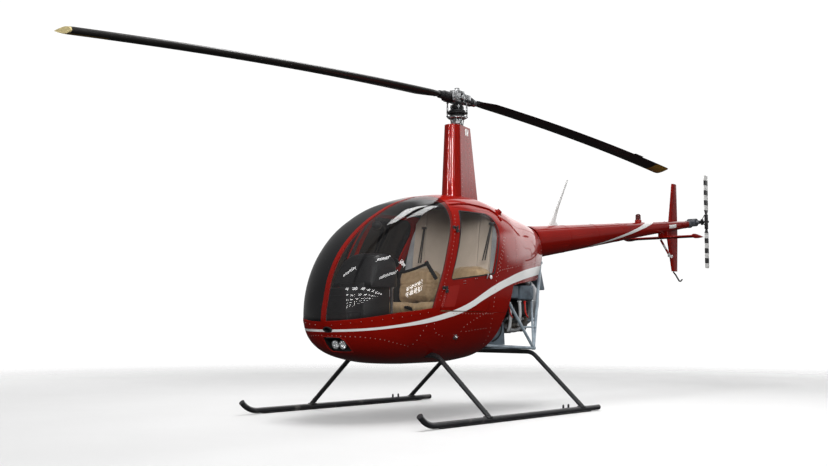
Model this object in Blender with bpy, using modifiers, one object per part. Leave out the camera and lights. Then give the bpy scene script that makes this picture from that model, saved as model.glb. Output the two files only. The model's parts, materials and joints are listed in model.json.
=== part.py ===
# Light two-seat helicopter: hollow cabin with hinged doors, open engine bay, tailcone and two rotors.
# Metres, X forward, Y to the left, Z up. Sizes are given from the main mast's axis, on the ground plane.
import math

import bmesh
import bpy
import numpy as np
from mathutils import Matrix, Vector

# Rotors
ROTOR_RADIUS = 3.835
BLADE_ROOT = 0.215
BLADE_CHORD = 0.183
BLADE_THICKNESS = 0.048
TIP_TAPER = 0.9
HUB_Z = 2.649
# The parked rotor stands a little off the fore-and-aft line. Its blades hang, and their tips are nose down
ROTOR_TURN = math.radians(1.93)
BLADE_SAG = (0.078, 0.142)
BLADE_PITCH = (math.radians(2.0), math.radians(-6.5))
TAIL_ARM = 4.39
TAIL_ROTOR_Y = 0.178
TAIL_ROTOR_Z = 1.88
TAIL_ROTOR_RADIUS = 0.535
TAIL_BLADE_CHORD = 0.102
# The box of the whole machine is centred on the origin, so the mast stands ahead of it
ROTOR_REACH = ROTOR_RADIUS * math.cos(ROTOR_TURN) + 0.75 * TIP_TAPER * BLADE_CHORD * math.sin(ROTOR_TURN)
MAST_X = (TAIL_ARM + TAIL_BLADE_CHORD / 2 - ROTOR_REACH) / 2

# Walls and gaps
WALL = 0.022
COWL_WALL = 0.010
GLASS = 0.004
SEAM = 0.0006
DOOR_GAP = 0.0055
REAR_GAP = 0.0080
TOUCH = 0.0004
LINING_GAP = 0.0255

# Body sections: x, top, bottom, half width, height of the widest point, power of the upper and lower curve
BODY_SECTIONS = (
    (1.592, 0.757, 0.757, 0.000, 0.757, 2.0, 2.0),
    (1.572, 0.880, 0.640, 0.150, 0.760, 2.0, 2.1),
    (1.530, 1.050, 0.572, 0.255, 0.770, 2.1, 2.2),
    (1.440, 1.222, 0.500, 0.365, 0.790, 2.4, 2.3),
    (1.287, 1.390, 0.450, 0.455, 0.815, 2.8, 2.4),
    (1.056, 1.553, 0.415, 0.525, 0.850, 3.2, 2.4),
    (0.744, 1.697, 0.405, 0.556, 0.890, 3.4, 2.4),
    (0.400, 1.775, 0.405, 0.560, 0.930, 3.2, 2.3),
    (0.100, 1.785, 0.430, 0.545, 0.970, 2.8, 2.3),
    (-0.200, 1.750, 0.520, 0.500, 1.000, 2.6, 2.3),
    (-0.500, 1.690, 0.760, 0.410, 1.090, 2.4, 2.3),
    (-0.800, 1.635, 0.950, 0.290, 1.250, 2.3, 2.3),
    (-1.030, 1.600, 1.080, 0.172, 1.340, 2.2, 2.2),
)
NOSE_X = BODY_SECTIONS[0][0]
BODY_END = BODY_SECTIONS[-1][0]
BODY_RINGS = 27
HALF_RING = 20

# Side-view lines of the panels, each point (x, z)
SILL = ((0.951, 0.842), (1.096, 0.823), (1.264, 0.804), (1.432, 0.773), (1.543, 0.750), (1.592, 0.736))
POST = ((0.951, 0.842), (0.914, 0.940), (0.858, 1.069), (0.771, 1.296), (0.719, 1.401), (0.665, 1.519),
        (0.634, 1.605), (0.609, 1.675), (0.590, 1.720), (0.560, 1.770))
FIREWALL = ((0.115, 0.450), (0.065, 0.600), (0.040, 0.740), (-0.090, 1.035), (-0.342, 1.800))
COWL_EDGE = ((-0.090, 1.035), (-0.215, 1.056), (-0.463, 1.081), (-0.716, 1.100), (-1.030, 1.112))
DOOR_SILL_Z = 0.812
DOOR_LOW_Z = DOOR_SILL_Z + DOOR_GAP
# The door swings down a little at its front corner as it opens, so its lower edge rises towards that corner
DOOR_LIFT = 0.0075


DOOR_TOP_Z = 1.635
DOOR_FRONT = (0.903, 0.588)


def door_corners(lift):
    """Door corners: x, z, radius, and which way each moves when the outline grows."""
    low_x, high_x = DOOR_FRONT
    lean = (low_x - high_x) / (DOOR_TOP_Z - DOOR_LOW_Z)
    return (
        (low_x - lean * lift, DOOR_LOW_Z + lift, 0.020, 1, -1),
        (high_x, DOOR_TOP_Z, 0.030, 1, 1),
        (-0.079, DOOR_TOP_Z, 0.110, -REAR_GAP / DOOR_GAP, 1),
        (0.324, DOOR_LOW_Z, 0.060, -REAR_GAP / DOOR_GAP, -1),
    )


WINDOW_CORNERS = (
    (0.772, 1.058, 0.012, 1, -1),
    (0.540, 1.608, 0.020, 1, 1),
    (0.004, 1.608, 0.115, -1, 1),
    (0.222, 1.122, 0.035, -1, -1),
)
# The left door's hinge axis, and how far along it the two hinges stand
HINGE_LOW = Vector((0.8575, 0.5720, 0.950))
HINGE_HIGH = Vector((0.6535, 0.5260, 1.480))
HINGE_PLACES = (0.06, 0.95)
KNUCKLE_RADIUS = 0.008
KNUCKLE_LENGTH = 0.026

# Tailcone: x, centre height, radius
TAILCONE_SECTIONS = ((-1.0304, 1.459, 0.154), (-2.140, 1.595, 0.1145), (-3.160, 1.721, 0.0780),
                     (-4.240, 1.847, 0.0400))

# Landing gear
SKID_Y = 0.920
SKID_RADIUS = 0.0225
SHOE_HEIGHT = 0.004
SKID_BACK = -0.740
SKID_BEND = 1.405
SKID_TIP = 1.600
ARCH_TOP_Y = 0.434
ARCH_TOP_Z = 0.482
ARCH_RADIUS = 0.019
ARCH_FOOT_Z = 0.0535
ARCH_HOLE = 0.0015
ARCHES = (("landing_arch_front", 0.800), ("landing_arch_rear", -0.474))

# Colours and finish: red, green, blue, roughness, metallic
FINISHES = {
    "red_paint": (0.42, 0.010, 0.008, 0.25, 0.0),
    "white_paint": (0.82, 0.82, 0.80, 0.35, 0.0),
    "black_paint": (0.015, 0.015, 0.016, 0.45, 0.0),
    "window": (0.10, 0.10, 0.10, 0.05, 0.0),
    "frame_paint": (0.26, 0.34, 0.40, 0.50, 0.2),
    "bare_metal": (0.60, 0.61, 0.62, 0.35, 0.9),
    "engine_paint": (0.12, 0.17, 0.21, 0.55, 0.2),
    "exhaust_metal": (0.55, 0.53, 0.50, 0.45, 0.8),
    "tan_leather": (0.42, 0.31, 0.19, 0.60, 0.0),
    "beige_cloth": (0.45, 0.38, 0.31, 0.85, 0.0),
    "black_trim": (0.012, 0.012, 0.013, 0.60, 0.0),
    "lamp_glass": (0.80, 0.82, 0.84, 0.10, 0.3),
    "blade_paint": (0.030, 0.030, 0.032, 0.40, 0.0),
}


def clear_scene():
    for old in list(bpy.data.objects):
        bpy.data.objects.remove(old, do_unlink=True)


def new_collection(name):
    group = bpy.data.collections.new(name)
    bpy.context.scene.collection.children.link(group)
    return group


def material(name):
    """A Principled material in one of the finishes, made anew for each piece."""
    red, green, blue, roughness, metallic = FINISHES[name]
    made = bpy.data.materials.new(name)
    made.use_nodes = True
    shader = made.node_tree.nodes["Principled BSDF"]
    shader.inputs["Base Color"].default_value = (red, green, blue, 1.0)
    shader.inputs["Roughness"].default_value = roughness
    shader.inputs["Metallic"].default_value = metallic
    return made


clear_scene()
PARTS = new_collection("helicopter")
CUTTERS = new_collection("cutters")
ROOT = bpy.data.objects.new("mast_axis", None)
ROOT.location = (MAST_X, 0.0, 0.0)
PARTS.objects.link(ROOT)
ROTOR = bpy.data.objects.new("rotor_axis", None)
ROTOR.parent = ROOT
ROTOR.rotation_euler = (0.0, 0.0, ROTOR_TURN)
PARTS.objects.link(ROTOR)


def add_part(name, mesh, finish, smooth=30.0, axis=ROOT):
    """A visible piece, placed from the mast's axis, or from the rotor's where it turns with it."""
    piece = bpy.data.objects.new(name, mesh)
    PARTS.objects.link(piece)
    piece.parent = axis
    mesh.materials.clear()
    mesh.materials.append(material(finish))
    mesh.shade_smooth()
    mesh.set_sharp_from_angle(angle=math.radians(smooth))
    return piece


def add_cutter(name, mesh, axis=ROOT):
    tool = bpy.data.objects.new(name, mesh)
    CUTTERS.objects.link(tool)
    tool.parent = axis
    tool.hide_render = True
    tool.display_type = "WIRE"
    return tool


def boolean(piece, tool, operation):
    step = piece.modifiers.new(f"{operation.lower()} {tool.name}", "BOOLEAN")
    step.operation = operation
    step.solver = "EXACT"
    step.object = tool
    return piece


def solidify(piece, thickness):
    """A wall that grows inward from the outer skin."""
    step = piece.modifiers.new("wall", "SOLIDIFY")
    step.thickness = thickness
    step.offset = -1.0
    step.use_rim = True
    return piece


def bevel(piece, width, segments=2):
    step = piece.modifiers.new("rounded edges", "BEVEL")
    step.width = width
    step.segments = segments
    step.limit_method = "ANGLE"
    step.angle_limit = math.radians(40)
    return piece


def mesh_from(bm, name):
    mesh = bpy.data.meshes.new(name)
    bmesh.ops.recalc_face_normals(bm, faces=bm.faces)
    bm.to_mesh(mesh)
    bm.free()
    return mesh


def loft(name, rings, close_start=True, close_end=True):
    """A skin through rings of points. A ring may be one point, which makes a tip."""
    bm = bmesh.new()
    made = [[bm.verts.new(point) for point in ring] for ring in rings]
    for near, far in zip(made[:-1], made[1:]):
        count = max(len(near), len(far))
        for index in range(count):
            after = (index + 1) % count
            corners = [near[index % len(near)], near[after % len(near)]]
            corners += [far[after % len(far)], far[index % len(far)]]
            bm.faces.new(list(dict.fromkeys(corners)))
    for ring, closed in ((made[0], close_start), (made[-1], close_end)):
        if closed and len(ring) > 2:
            bm.faces.new(ring)
    return mesh_from(bm, name)


def box(name, low, high):
    bm = bmesh.new()
    size = Vector(high) - Vector(low)
    middle = (Vector(high) + Vector(low)) / 2
    bmesh.ops.create_cube(bm, size=1.0, matrix=Matrix.Translation(middle) @ Matrix.Diagonal((*size, 1.0)))
    return mesh_from(bm, name)


def rod(name, start, end, radius, sides=16, end_radius=None):
    """A cylinder or a cone between two points."""
    bm = bmesh.new()
    start, end = Vector(start), Vector(end)
    along = end - start
    turn = along.to_track_quat("Z", "Y").to_matrix().to_4x4()
    place = Matrix.Translation((start + end) / 2) @ turn
    bmesh.ops.create_cone(bm, cap_ends=True, segments=sides, radius1=radius,
                          radius2=radius if end_radius is None else end_radius, depth=along.length, matrix=place)
    return mesh_from(bm, name)


def tube(name, points, radius, resolution=2):
    """A round tube along a line of points, as a closed mesh."""
    curve = bpy.data.curves.new(name, "CURVE")
    curve.dimensions = "3D"
    curve.bevel_depth = radius
    curve.bevel_resolution = resolution
    curve.use_fill_caps = True
    line = curve.splines.new("POLY")
    line.points.add(len(points) - 1)
    for target, point in zip(line.points, points):
        target.co = (*point, 1.0)
    holder = bpy.data.objects.new(name, curve)
    CUTTERS.objects.link(holder)
    bpy.context.view_layer.update()
    mesh = bpy.data.meshes.new_from_object(holder.evaluated_get(bpy.context.evaluated_depsgraph_get()))
    bpy.data.objects.remove(holder, do_unlink=True)
    bm = bmesh.new()
    bm.from_mesh(mesh)
    bmesh.ops.remove_doubles(bm, verts=bm.verts, dist=0.00005)
    return mesh_from(bm, name)


def turned(name, profile, centre, axis="Z", sides=24):
    """A body of revolution from a closed profile of (radius, height) pairs."""
    bm = bmesh.new()
    ring = [bm.verts.new((radius, 0.0, height)) for radius, height in profile]
    edges = [bm.edges.new((ring[k], ring[(k + 1) % len(ring)])) for k in range(len(ring))]
    bmesh.ops.spin(bm, geom=ring + edges, cent=(0, 0, 0), axis=(0, 0, 1), angle=math.tau, steps=sides,
                   use_duplicate=False)
    bmesh.ops.remove_doubles(bm, verts=bm.verts, dist=0.00005)
    bmesh.ops.dissolve_degenerate(bm, dist=0.00001, edges=bm.edges)
    turn = {"Z": Matrix.Identity(4), "Y": Matrix.Rotation(-math.pi / 2, 4, "X"),
            "X": Matrix.Rotation(math.pi / 2, 4, "Y")}
    bmesh.ops.transform(bm, matrix=Matrix.Translation(centre) @ turn[axis], verts=bm.verts)
    return mesh_from(bm, name)


def prism(name, outline, low_y, high_y):
    """A side-view outline of (x, z) points, drawn out along Y."""
    bm = bmesh.new()
    face = bm.faces.new([bm.verts.new((x, low_y, z)) for x, z in outline])
    side = bmesh.ops.extrude_face_region(bm, geom=[face])["geom"]
    moved = [item for item in side if isinstance(item, bmesh.types.BMVert)]
    bmesh.ops.translate(bm, vec=(0, high_y - low_y, 0), verts=moved)
    return mesh_from(bm, name)


def united(name, meshes, finish, smooth=30.0, axis=ROOT):
    """One piece from overlapping solids, joined by Boolean unions."""
    piece = add_part(name, meshes[0], finish, smooth, axis)
    for number, mesh in enumerate(meshes[1:]):
        boolean(piece, add_cutter(f"{name}_join_{number}", mesh, axis), "UNION")
    return piece


def mirrored(mesh, name):
    """The same solid on the other side of the machine."""
    bm = bmesh.new()
    bm.from_mesh(mesh)
    bmesh.ops.scale(bm, vec=(1, -1, 1), verts=bm.verts)
    return mesh_from(bm, name)


def rounded(corners, grow=0.0, steps=5):
    """An outline whose corners are arcs. Each corner is x, z, radius and its way out."""
    points = [Vector((x + grow * way_x, z + grow * way_z)) for x, z, radius, way_x, way_z in corners]
    outline = []
    for index, point in enumerate(points):
        before = (points[index - 1] - point).normalized()
        after = (points[(index + 1) % len(points)] - point).normalized()
        half = before.angle(after) / 2
        radius = corners[index][2]
        reach = radius / math.tan(half)
        centre = point + (before + after).normalized() * radius / math.sin(half)
        first = point + before * reach - centre
        last = point + after * reach - centre
        sweep = first.angle_signed(last)
        for step in range(steps + 1):
            turn = Matrix.Rotation(-sweep * step / steps, 2)
            outline.append(tuple(centre + turn @ first))
    return outline


def smooth_curve(table, column, position):
    """Monotone cubic curve through one column of a table, along the square root of the distance from the nose."""
    knots = np.sqrt(NOSE_X - np.array([row[0] for row in table]))
    values = np.array([row[column] for row in table])
    spans = np.diff(knots)
    slopes = np.diff(values) / spans
    tangents = np.zeros(len(values))
    for index in range(1, len(values) - 1):
        left, right = slopes[index - 1], slopes[index]
        if left * right > 0:
            near = 2 * spans[index] + spans[index - 1]
            far = spans[index] + 2 * spans[index - 1]
            tangents[index] = (near + far) / (near / left + far / right)
    tangents[0], tangents[-1] = slopes[0], slopes[-1]
    at = math.sqrt(max(NOSE_X - position, 0.0))
    index = int(np.clip(np.searchsorted(knots, at) - 1, 0, len(spans) - 1))
    span = spans[index]
    part = (at - knots[index]) / span
    return float(values[index] * (1 + 2 * part) * (1 - part) ** 2 + values[index + 1] * part ** 2 * (3 - 2 * part)
                 + span * part * (1 - part) * (tangents[index] * (1 - part) - tangents[index + 1] * part))


def body_ring(x, inset=0.0):
    """One section of the body, from the top centre down the left side and up the right."""
    top, bottom, half, widest, upper, lower = (smooth_curve(BODY_SECTIONS, column, x) for column in range(1, 7))
    angles = np.linspace(0.0, math.pi, 241)
    cosine, sine = np.cos(angles), np.sin(angles)
    power = np.where(cosine >= 0, upper, lower)
    height = np.where(cosine >= 0, top - inset - widest, widest - bottom - inset)
    ys = (half - inset) * np.abs(sine) ** (2 / power)
    zs = widest + height * np.sign(cosine) * np.abs(cosine) ** (2 / power)
    walked = np.concatenate(([0.0], np.cumsum(np.hypot(np.diff(ys), np.diff(zs)))))
    even = np.linspace(0.0, walked[-1], HALF_RING + 1)
    ys, zs = np.interp(even, walked, ys), np.interp(even, walked, zs)
    left = [(x, y, z) for y, z in zip(ys, zs)]
    left[0], left[-1] = (x, 0.0, left[0][2]), (x, 0.0, left[-1][2])
    return left + [(x, -y, z) for x, y, z in reversed(left[1:-1])]


def body_skin(name, inset=0.0, closed=False):
    """The body's outer form, or one that lies an inset inside it."""
    last = math.sqrt(NOSE_X - BODY_END)
    places = [NOSE_X - (last * number / (BODY_RINGS - 1)) ** 2 for number in range(1, BODY_RINGS)]
    rings = [[(NOSE_X - inset, 0.0, BODY_SECTIONS[0][1])]]
    rings += [[(px - inset * max(0.0, (px - 1.2) / (NOSE_X - 1.2)), py, pz)
               for px, py, pz in body_ring(place, inset)]
              for place in places if place < NOSE_X - 2.2 * max(inset, 0.0) ** 1.5 - 0.003]
    return loft(name, rings, close_start=False, close_end=closed)


SKIN = body_skin("body_skin")
OUTSIDE = add_cutter("body_outside", body_skin("body_outside", -TOUCH, closed=True))
INSIDE = add_cutter("body_inside", body_skin("body_inside", LINING_GAP, closed=True))
BEHIND_WALL = add_cutter("behind_wall", body_skin("behind_wall", WALL + 0.0012, closed=True))


def panel(name, finish, wall, outline, low_y, high_y):
    """A piece of the body's skin, as thick as the wall, cut out by a side-view outline."""
    piece = solidify(add_part(name, SKIN.copy(), finish), wall)
    tool = add_cutter(f"{name}_outline", prism(f"{name}_outline", outline, low_y, high_y))
    return boolean(piece, tool, "INTERSECT")


def lining(name, finish, mesh, smooth=30.0):
    """A piece inside the cabin, trimmed where it meets the walls."""
    return boolean(add_part(name, mesh, finish, smooth), INSIDE, "INTERSECT")


def shifted(line, dx=0.0, dz=0.0):
    return [(x + dx, z + dz) for x, z in line]


# Landing gear, whose front arch passes through the hull
def arch_points(x):
    foot = Vector((x, SKID_Y, ARCH_FOOT_Z))
    elbow = Vector((x, ARCH_TOP_Y, ARCH_TOP_Z))
    down = (foot - elbow).normalized()
    foot += down * 0.03
    inward = Vector((0, -1, 0))
    bend = [elbow + inward * 0.05, elbow + inward * 0.02 + down * 0.004, elbow + down * 0.02 + inward * 0.004,
            elbow + down * 0.05]
    left = [tuple(point) for point in bend + [foot]]
    right = [(px, -py, pz) for px, py, pz in reversed(left)]
    return right + left


def skid_line():
    """The skid's centre line: straight, then an upward arc at the front."""
    low = SHOE_HEIGHT + SKID_RADIUS
    radius = 0.225
    reach = SKID_TIP - 0.03 - SKID_BEND
    last = math.asin(reach / radius)
    arc = [(SKID_BEND + radius * math.sin(last * k / 6), low + radius * (1 - math.cos(last * k / 6)))
           for k in range(7)]
    return [(SKID_BACK, low)] + arc


BELOW_FEET = add_cutter("below_feet", box("below_feet", (-2.0, -1.2, -0.2), (2.0, 1.2, ARCH_FOOT_Z)))
for arch_name, arch_x in ARCHES:
    arch = add_part(arch_name, tube(arch_name, arch_points(arch_x), ARCH_RADIUS), "black_paint")
    boolean(arch, BELOW_FEET, "DIFFERENCE")
HULL_NOTCH = add_cutter("hull_notch", tube("hull_notch", arch_points(ARCHES[0][1]), ARCH_RADIUS + ARCH_HOLE))

skid_points = [(x, SKID_Y, z) for x, z in skid_line()]
skid_tube = tube("skid_left", skid_points, SKID_RADIUS, resolution=3)
shoe = box("skid_shoe", (-0.60, SKID_Y - 0.018, 0.0), (1.38, SKID_Y + 0.018, 0.012))
clamps = [box("skid_saddle", (x - 0.035, SKID_Y - 0.020, 0.035), (x + 0.035, SKID_Y + 0.020, ARCH_FOOT_Z - TOUCH))
          for _, x in ARCHES]
for side_name in ("skid_left", "skid_right"):
    flip = (lambda mesh, name: mesh) if side_name == "skid_left" else mirrored
    united(side_name, [flip(mesh.copy(), side_name) for mesh in (skid_tube, shoe, *clamps)], "black_paint")

# Lower hull: the riveted tub under the windscreen and the doors
hull_outline = [(1.80, 0.30), (1.80, 0.736 - SEAM)]
hull_outline += [(x, z - SEAM) for x, z in reversed(SILL)]
hull_outline += [(0.905, DOOR_SILL_Z - SEAM), (0.0083, DOOR_SILL_Z - SEAM)]
hull_outline += [FIREWALL[2], FIREWALL[1], FIREWALL[0], (0.160, 0.300)]
hull = panel("lower_hull", "red_paint", WALL, hull_outline, -0.9, 0.9)
boolean(hull, HULL_NOTCH, "DIFFERENCE")

# Landing lamps, in a dark tray let into the left of the nose
LAMP_LOW = (1.36, -0.028, 0.512)
LAMP_HIGH = (1.62, 0.172, 0.618)
LAMPS = ((1.490, 0.062, 0.566), (1.472, 0.130, 0.565))
LAMP_RADIUS = 0.031
TRAY_RIM = 0.004
hollow_low = (1.44, LAMP_LOW[1] + TRAY_RIM, LAMP_LOW[2] + TRAY_RIM)
hollow_high = (1.70, LAMP_HIGH[1] - TRAY_RIM, LAMP_HIGH[2] - TRAY_RIM)
boolean(hull, add_cutter("lamp_window", box("lamp_window", LAMP_LOW, LAMP_HIGH)), "DIFFERENCE")
tray_box = box("lamp_tray", [v + TOUCH for v in LAMP_LOW], [v - TOUCH for v in LAMP_HIGH])
tray = add_part("lamp_tray", tray_box, "black_trim")
boolean(tray, add_cutter("tray_skin", body_skin("tray_skin", TRAY_RIM, closed=True)), "INTERSECT")
boolean(tray, add_cutter("tray_hollow", box("tray_hollow", hollow_low, hollow_high)), "DIFFERENCE")
lamp_meshes = [box("lamp_plate", (1.4404, 0.040, 0.545), (1.4500, 0.155, 0.598))]
for lamp in LAMPS:
    back = Vector((1.4475, lamp[1], lamp[2] + 0.010))
    lamp_meshes.append(rod("landing_lamp", back, (lamp[0], lamp[1], lamp[2]), 0.020, 16, LAMP_RADIUS))
united("landing_lamps", lamp_meshes, "lamp_glass")

# Cabin frame: door posts, roof and rear quarters
frame_outline = [(x - SEAM, z + SEAM) for x, z in POST] + [(0.540, 1.90), (-0.375, 1.90)]
frame_outline += [(x + SEAM, z) for x, z in reversed(FIREWALL[3:])]
frame_outline += [(0.0083 + SEAM, DOOR_SILL_Z + SEAM), (0.905, DOOR_SILL_Z + SEAM)]
cabin = panel("cabin_frame", "red_paint", WALL, frame_outline, -0.9, 0.9)
for side_name, low_y, high_y in (("left", 0.25, 0.9), ("right", -0.9, -0.25)):
    opening = prism("door_opening", rounded(door_corners(0.0), DOOR_GAP), low_y, high_y)
    boolean(cabin, add_cutter(f"door_opening_{side_name}", opening), "DIFFERENCE")


def knuckle(name, place, way, arm_x, side):
    """Half of a door hinge: a barrel on the axis and its arm. way is 1 on the frame and -1 on the door."""
    along = (HINGE_HIGH - HINGE_LOW).normalized()
    middle = HINGE_LOW.lerp(HINGE_HIGH, place)
    near = middle + along * way * TOUCH / 2
    far = middle + along * way * KNUCKLE_LENGTH
    foot = middle + along * way * KNUCKLE_LENGTH / 2 + Vector((arm_x, -0.034, 0.0))
    barrel = rod(name, near, far, KNUCKLE_RADIUS, 12)
    arm = rod(name, middle + along * way * KNUCKLE_LENGTH / 2, foot, 0.006, 8)
    return [mesh if side > 0 else mirrored(mesh, name) for mesh in (barrel, arm)]


for side in (1, -1):
    for place in HINGE_PLACES:
        for mesh in knuckle("frame_knuckle", place, 1, 0.016, side):
            boolean(cabin, add_cutter("frame_knuckle", mesh), "UNION")

# Windscreen halves and the strip between them
BOW_HALF = 0.020
screen_outline = [(x, z + SEAM) for x, z in SILL] + [(1.80, 0.737)] + [(1.80, 1.90), (0.545, 1.90)]
screen_outline += [(x + SEAM, z) for x, z in reversed(POST[1:])]
panel("windshield_bow", "red_paint", WALL, screen_outline, -BOW_HALF, BOW_HALF)
panel("windshield_left", "window", GLASS, screen_outline, BOW_HALF + SEAM, 0.9)
panel("windshield_right", "window", GLASS, screen_outline, -0.9, -BOW_HALF - SEAM)

# Doors, each a frame with its window cut out
for side_name, low_y, high_y in (("left", 0.25, 0.9), ("right", -0.9, -0.25)):
    door = panel(f"door_{side_name}", "red_paint", WALL, rounded(door_corners(DOOR_LIFT), -TOUCH), low_y, high_y)
    hole = add_cutter(f"window_hole_{side_name}", prism("window_hole", rounded(WINDOW_CORNERS), low_y, high_y))
    boolean(door, hole, "DIFFERENCE")
    for place in HINGE_PLACES:
        for mesh in knuckle("door_knuckle", place, -1, -0.026, 1 if side_name == "left" else -1):
            boolean(door, add_cutter("door_knuckle", mesh), "UNION")
    panel(f"door_window_{side_name}", "window", GLASS, rounded(WINDOW_CORNERS, -TOUCH), low_y, high_y)

# Engine cowls behind the cabin, and the bulkhead that closes them
cowl_outline = [(x - SEAM, z + SEAM) for x, z in FIREWALL[3:]] + [(-0.375, 1.90), (-1.20, 1.90), (-1.20, 1.113)]
cowl_outline += list(reversed(COWL_EDGE[1:]))
cowl_corner = ((-0.862, 1.085), (-0.980, 1.292), (-1.200, 1.292), (-1.200, 1.000), (-0.862, 1.000))
CORNER_ROOM = add_cutter("cowl_corner", prism("cowl_corner", cowl_corner, -0.9, 0.9))
for side_name, low_y, high_y in (("left", SEAM, 0.9), ("right", -0.9, -SEAM)):
    cowl = panel(f"cowl_{side_name}", "red_paint", COWL_WALL, cowl_outline, low_y, high_y)
    boolean(cowl, CORNER_ROOM, "DIFFERENCE")
bulkhead_box = box("cowl_bulkhead", (-1.0336, -0.3, 1.220), (-1.022, 0.3, 1.7))
bulkhead = add_part("cowl_bulkhead", bulkhead_box, "frame_paint")
cowl_inside = add_cutter("cowl_inside", body_skin("cowl_inside", COWL_WALL + 0.003, closed=True))
boolean(bulkhead, cowl_inside, "INTERSECT")

# Firewall, floor, seats and rear lining
firewall_outline = [(x + TOUCH, z) for x, z in FIREWALL] + [(x + 0.020, z) for x, z in reversed(FIREWALL)]
firewall = add_part("firewall", prism("firewall", firewall_outline, -0.9, 0.9), "engine_paint")
boolean(firewall, BEHIND_WALL, "INTERSECT")
FLOOR_TOP = 0.560
SEAT_TOP = 0.800
lining("cabin_floor", "black_trim", box("cabin_floor", (0.1056, -0.9, 0.540), (1.310, 0.9, FLOOR_TOP)))
seat_box_outline = ((0.140, FLOOR_TOP + TOUCH), (0.600, FLOOR_TOP + TOUCH), (0.660, SEAT_TOP), (0.140, SEAT_TOP))
lining("seat_box", "black_trim", prism("seat_box", seat_box_outline, -0.505, 0.505))
LINER = ((0.125, SEAT_TOP + TOUCH), (0.155, SEAT_TOP + TOUCH), (0.050, 1.700), (0.020, 1.700))
lining("rear_lining", "beige_cloth", prism("rear_lining", LINER, -0.440, 0.440))
SEATS = (("left", 0.030, 0.490), ("right", -0.490, -0.030))
cushion_outline = ((0.215, SEAT_TOP + TOUCH), (0.650, SEAT_TOP + TOUCH), (0.690, 0.850), (0.660, 0.880),
                   (0.205, 0.862))
back_outline = ((0.1467, 0.875), (0.262, 0.885), (0.225, 1.215), (0.135, 1.215), (0.1129, 1.165))
for side_name, low_y, high_y in SEATS:
    cushion_form = prism("cushion", cushion_outline, low_y, high_y)
    cushion = add_part(f"seat_cushion_{side_name}", cushion_form, "tan_leather")
    bevel(cushion, 0.018)
    back_form = prism("back", back_outline, low_y + 0.015, high_y - 0.005)
    back = add_part(f"seat_back_{side_name}", back_form, "tan_leather")
    bevel(back, 0.018)

# Instrument console on its pedestal, and the shared cyclic stick
POD_TOP = 1.262
pod_outline = rounded(((0.935, 1.000, 0.02, 0, 0), (0.955, POD_TOP, 0.05, 0, 0), (1.190, POD_TOP, 0.09, 0, 0),
                       (1.300, 1.000, 0.03, 0, 0)))
pedestal_outline = ((1.000, FLOOR_TOP + TOUCH), (1.000, 1.03), (1.290, 1.03), (1.300, FLOOR_TOP + TOUCH))
pedestal = prism("pedestal", pedestal_outline, -0.13, 0.13)
pod = prism("pod", pod_outline, -0.200, 0.200)
nose_box = box("nose_box", (1.280, -0.120, 0.640), (1.440, 0.100, 0.990))
console = united("instrument_console", [pedestal, pod, nose_box], "black_trim")
STICK_X = 0.835
GRIP_Y = 0.385
stick = tube("stick", ((STICK_X, 0, FLOOR_TOP + TOUCH), (STICK_X, 0, 1.115)), 0.013)
arms = tube("arms", ((STICK_X + 0.02, -GRIP_Y, 1.18), (STICK_X, -0.10, 1.112), (STICK_X, 0.10, 1.112),
                     (STICK_X + 0.02, GRIP_Y, 1.18)), 0.011)
grips = [tube("grip", ((STICK_X + 0.022, side * (GRIP_Y - 0.004), 1.185),
                       (STICK_X - 0.035, side * (GRIP_Y + 0.045), 1.06)), 0.016)
         for side in (1, -1)]
united("cyclic_stick", [stick, arms, *grips], "black_trim")

# Engine: crankcase, four cylinders, shrouds and the fan behind it
def side_box(name, side, low, high):
    """A box on one side of the machine, from two corners given for the left side."""
    ys = sorted((side * low[1], side * high[1]))
    return box(name, (low[0], ys[0], low[2]), (high[0], ys[1], high[2]))


CRANKCASE = box("crankcase", (-0.680, -0.130, 0.640), (-0.130, 0.130, 1.000))
CYLINDER_Z = 0.845
CYLINDER_RADIUS = 0.075
FAN_Z = 0.92
CYLINDERS = [(x, side) for x in (-0.270, -0.500) for side in (1, -1)]
cylinders = [rod("cylinder", (x, side * 0.10, CYLINDER_Z), (x, side * 0.385, CYLINDER_Z), CYLINDER_RADIUS, 12)
             for x, side in CYLINDERS]
covers = [side_box("rocker_cover", side, (x - 0.05, 0.37, 0.79), (x + 0.05, 0.42, 0.90)) for x, side in CYLINDERS]
shaft = rod("crankshaft", (-0.670, 0, FAN_Z), (-0.755 + TOUCH, 0, FAN_Z), 0.06, 16)
shrouds = [side_box("shroud", side, (-0.600, 0.110, 0.900), (-0.150, 0.375, 1.050)) for side in (1, -1)]
united("engine", [CRANKCASE, *cylinders, *covers, shaft, *shrouds], "engine_paint")
scroll_profile = ((0.0, 0.138), (0.218, 0.138), (0.246, 0.110), (0.246, 0.040), (0.218, 0.012), (0.150, 0.012),
                  (0.150, 0.0), (0.225, 0.0), (0.258, 0.035), (0.258, 0.115), (0.225, 0.150), (0.0, 0.150))
fan_x = -0.905
add_part("fan_scroll", turned("fan_scroll", scroll_profile, (fan_x, 0, FAN_Z), "X", 28), "bare_metal")
fan_profile = ((0.0, 0.025), (0.060, 0.025), (0.140, 0.070), (0.235, 0.075), (0.235, 0.095), (0.140, 0.110),
               (0.062, 0.138 - TOUCH), (0.0, 0.138 - TOUCH))
add_part("fan_wheel", turned("fan_wheel", fan_profile, (fan_x, 0, FAN_Z), "X", 24), "bare_metal")
pipes = []
for side in (1, -1):
    for x, lean in ((-0.270, -0.05), (-0.500, -0.03)):
        pipes.append(tube("pipe", ((x - 0.016, side * 0.335, 0.800), (x - 0.03, side * 0.335, 0.72),
                                   (x + lean, side * 0.290, 0.650), (x + lean, side * 0.215, 0.615)), 0.021))
mufflers = [rod("muffler", (-0.180, side * 0.205, 0.605), (-0.640, side * 0.205, 0.605), 0.052, 16)
            for side in (1, -1)]
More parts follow.
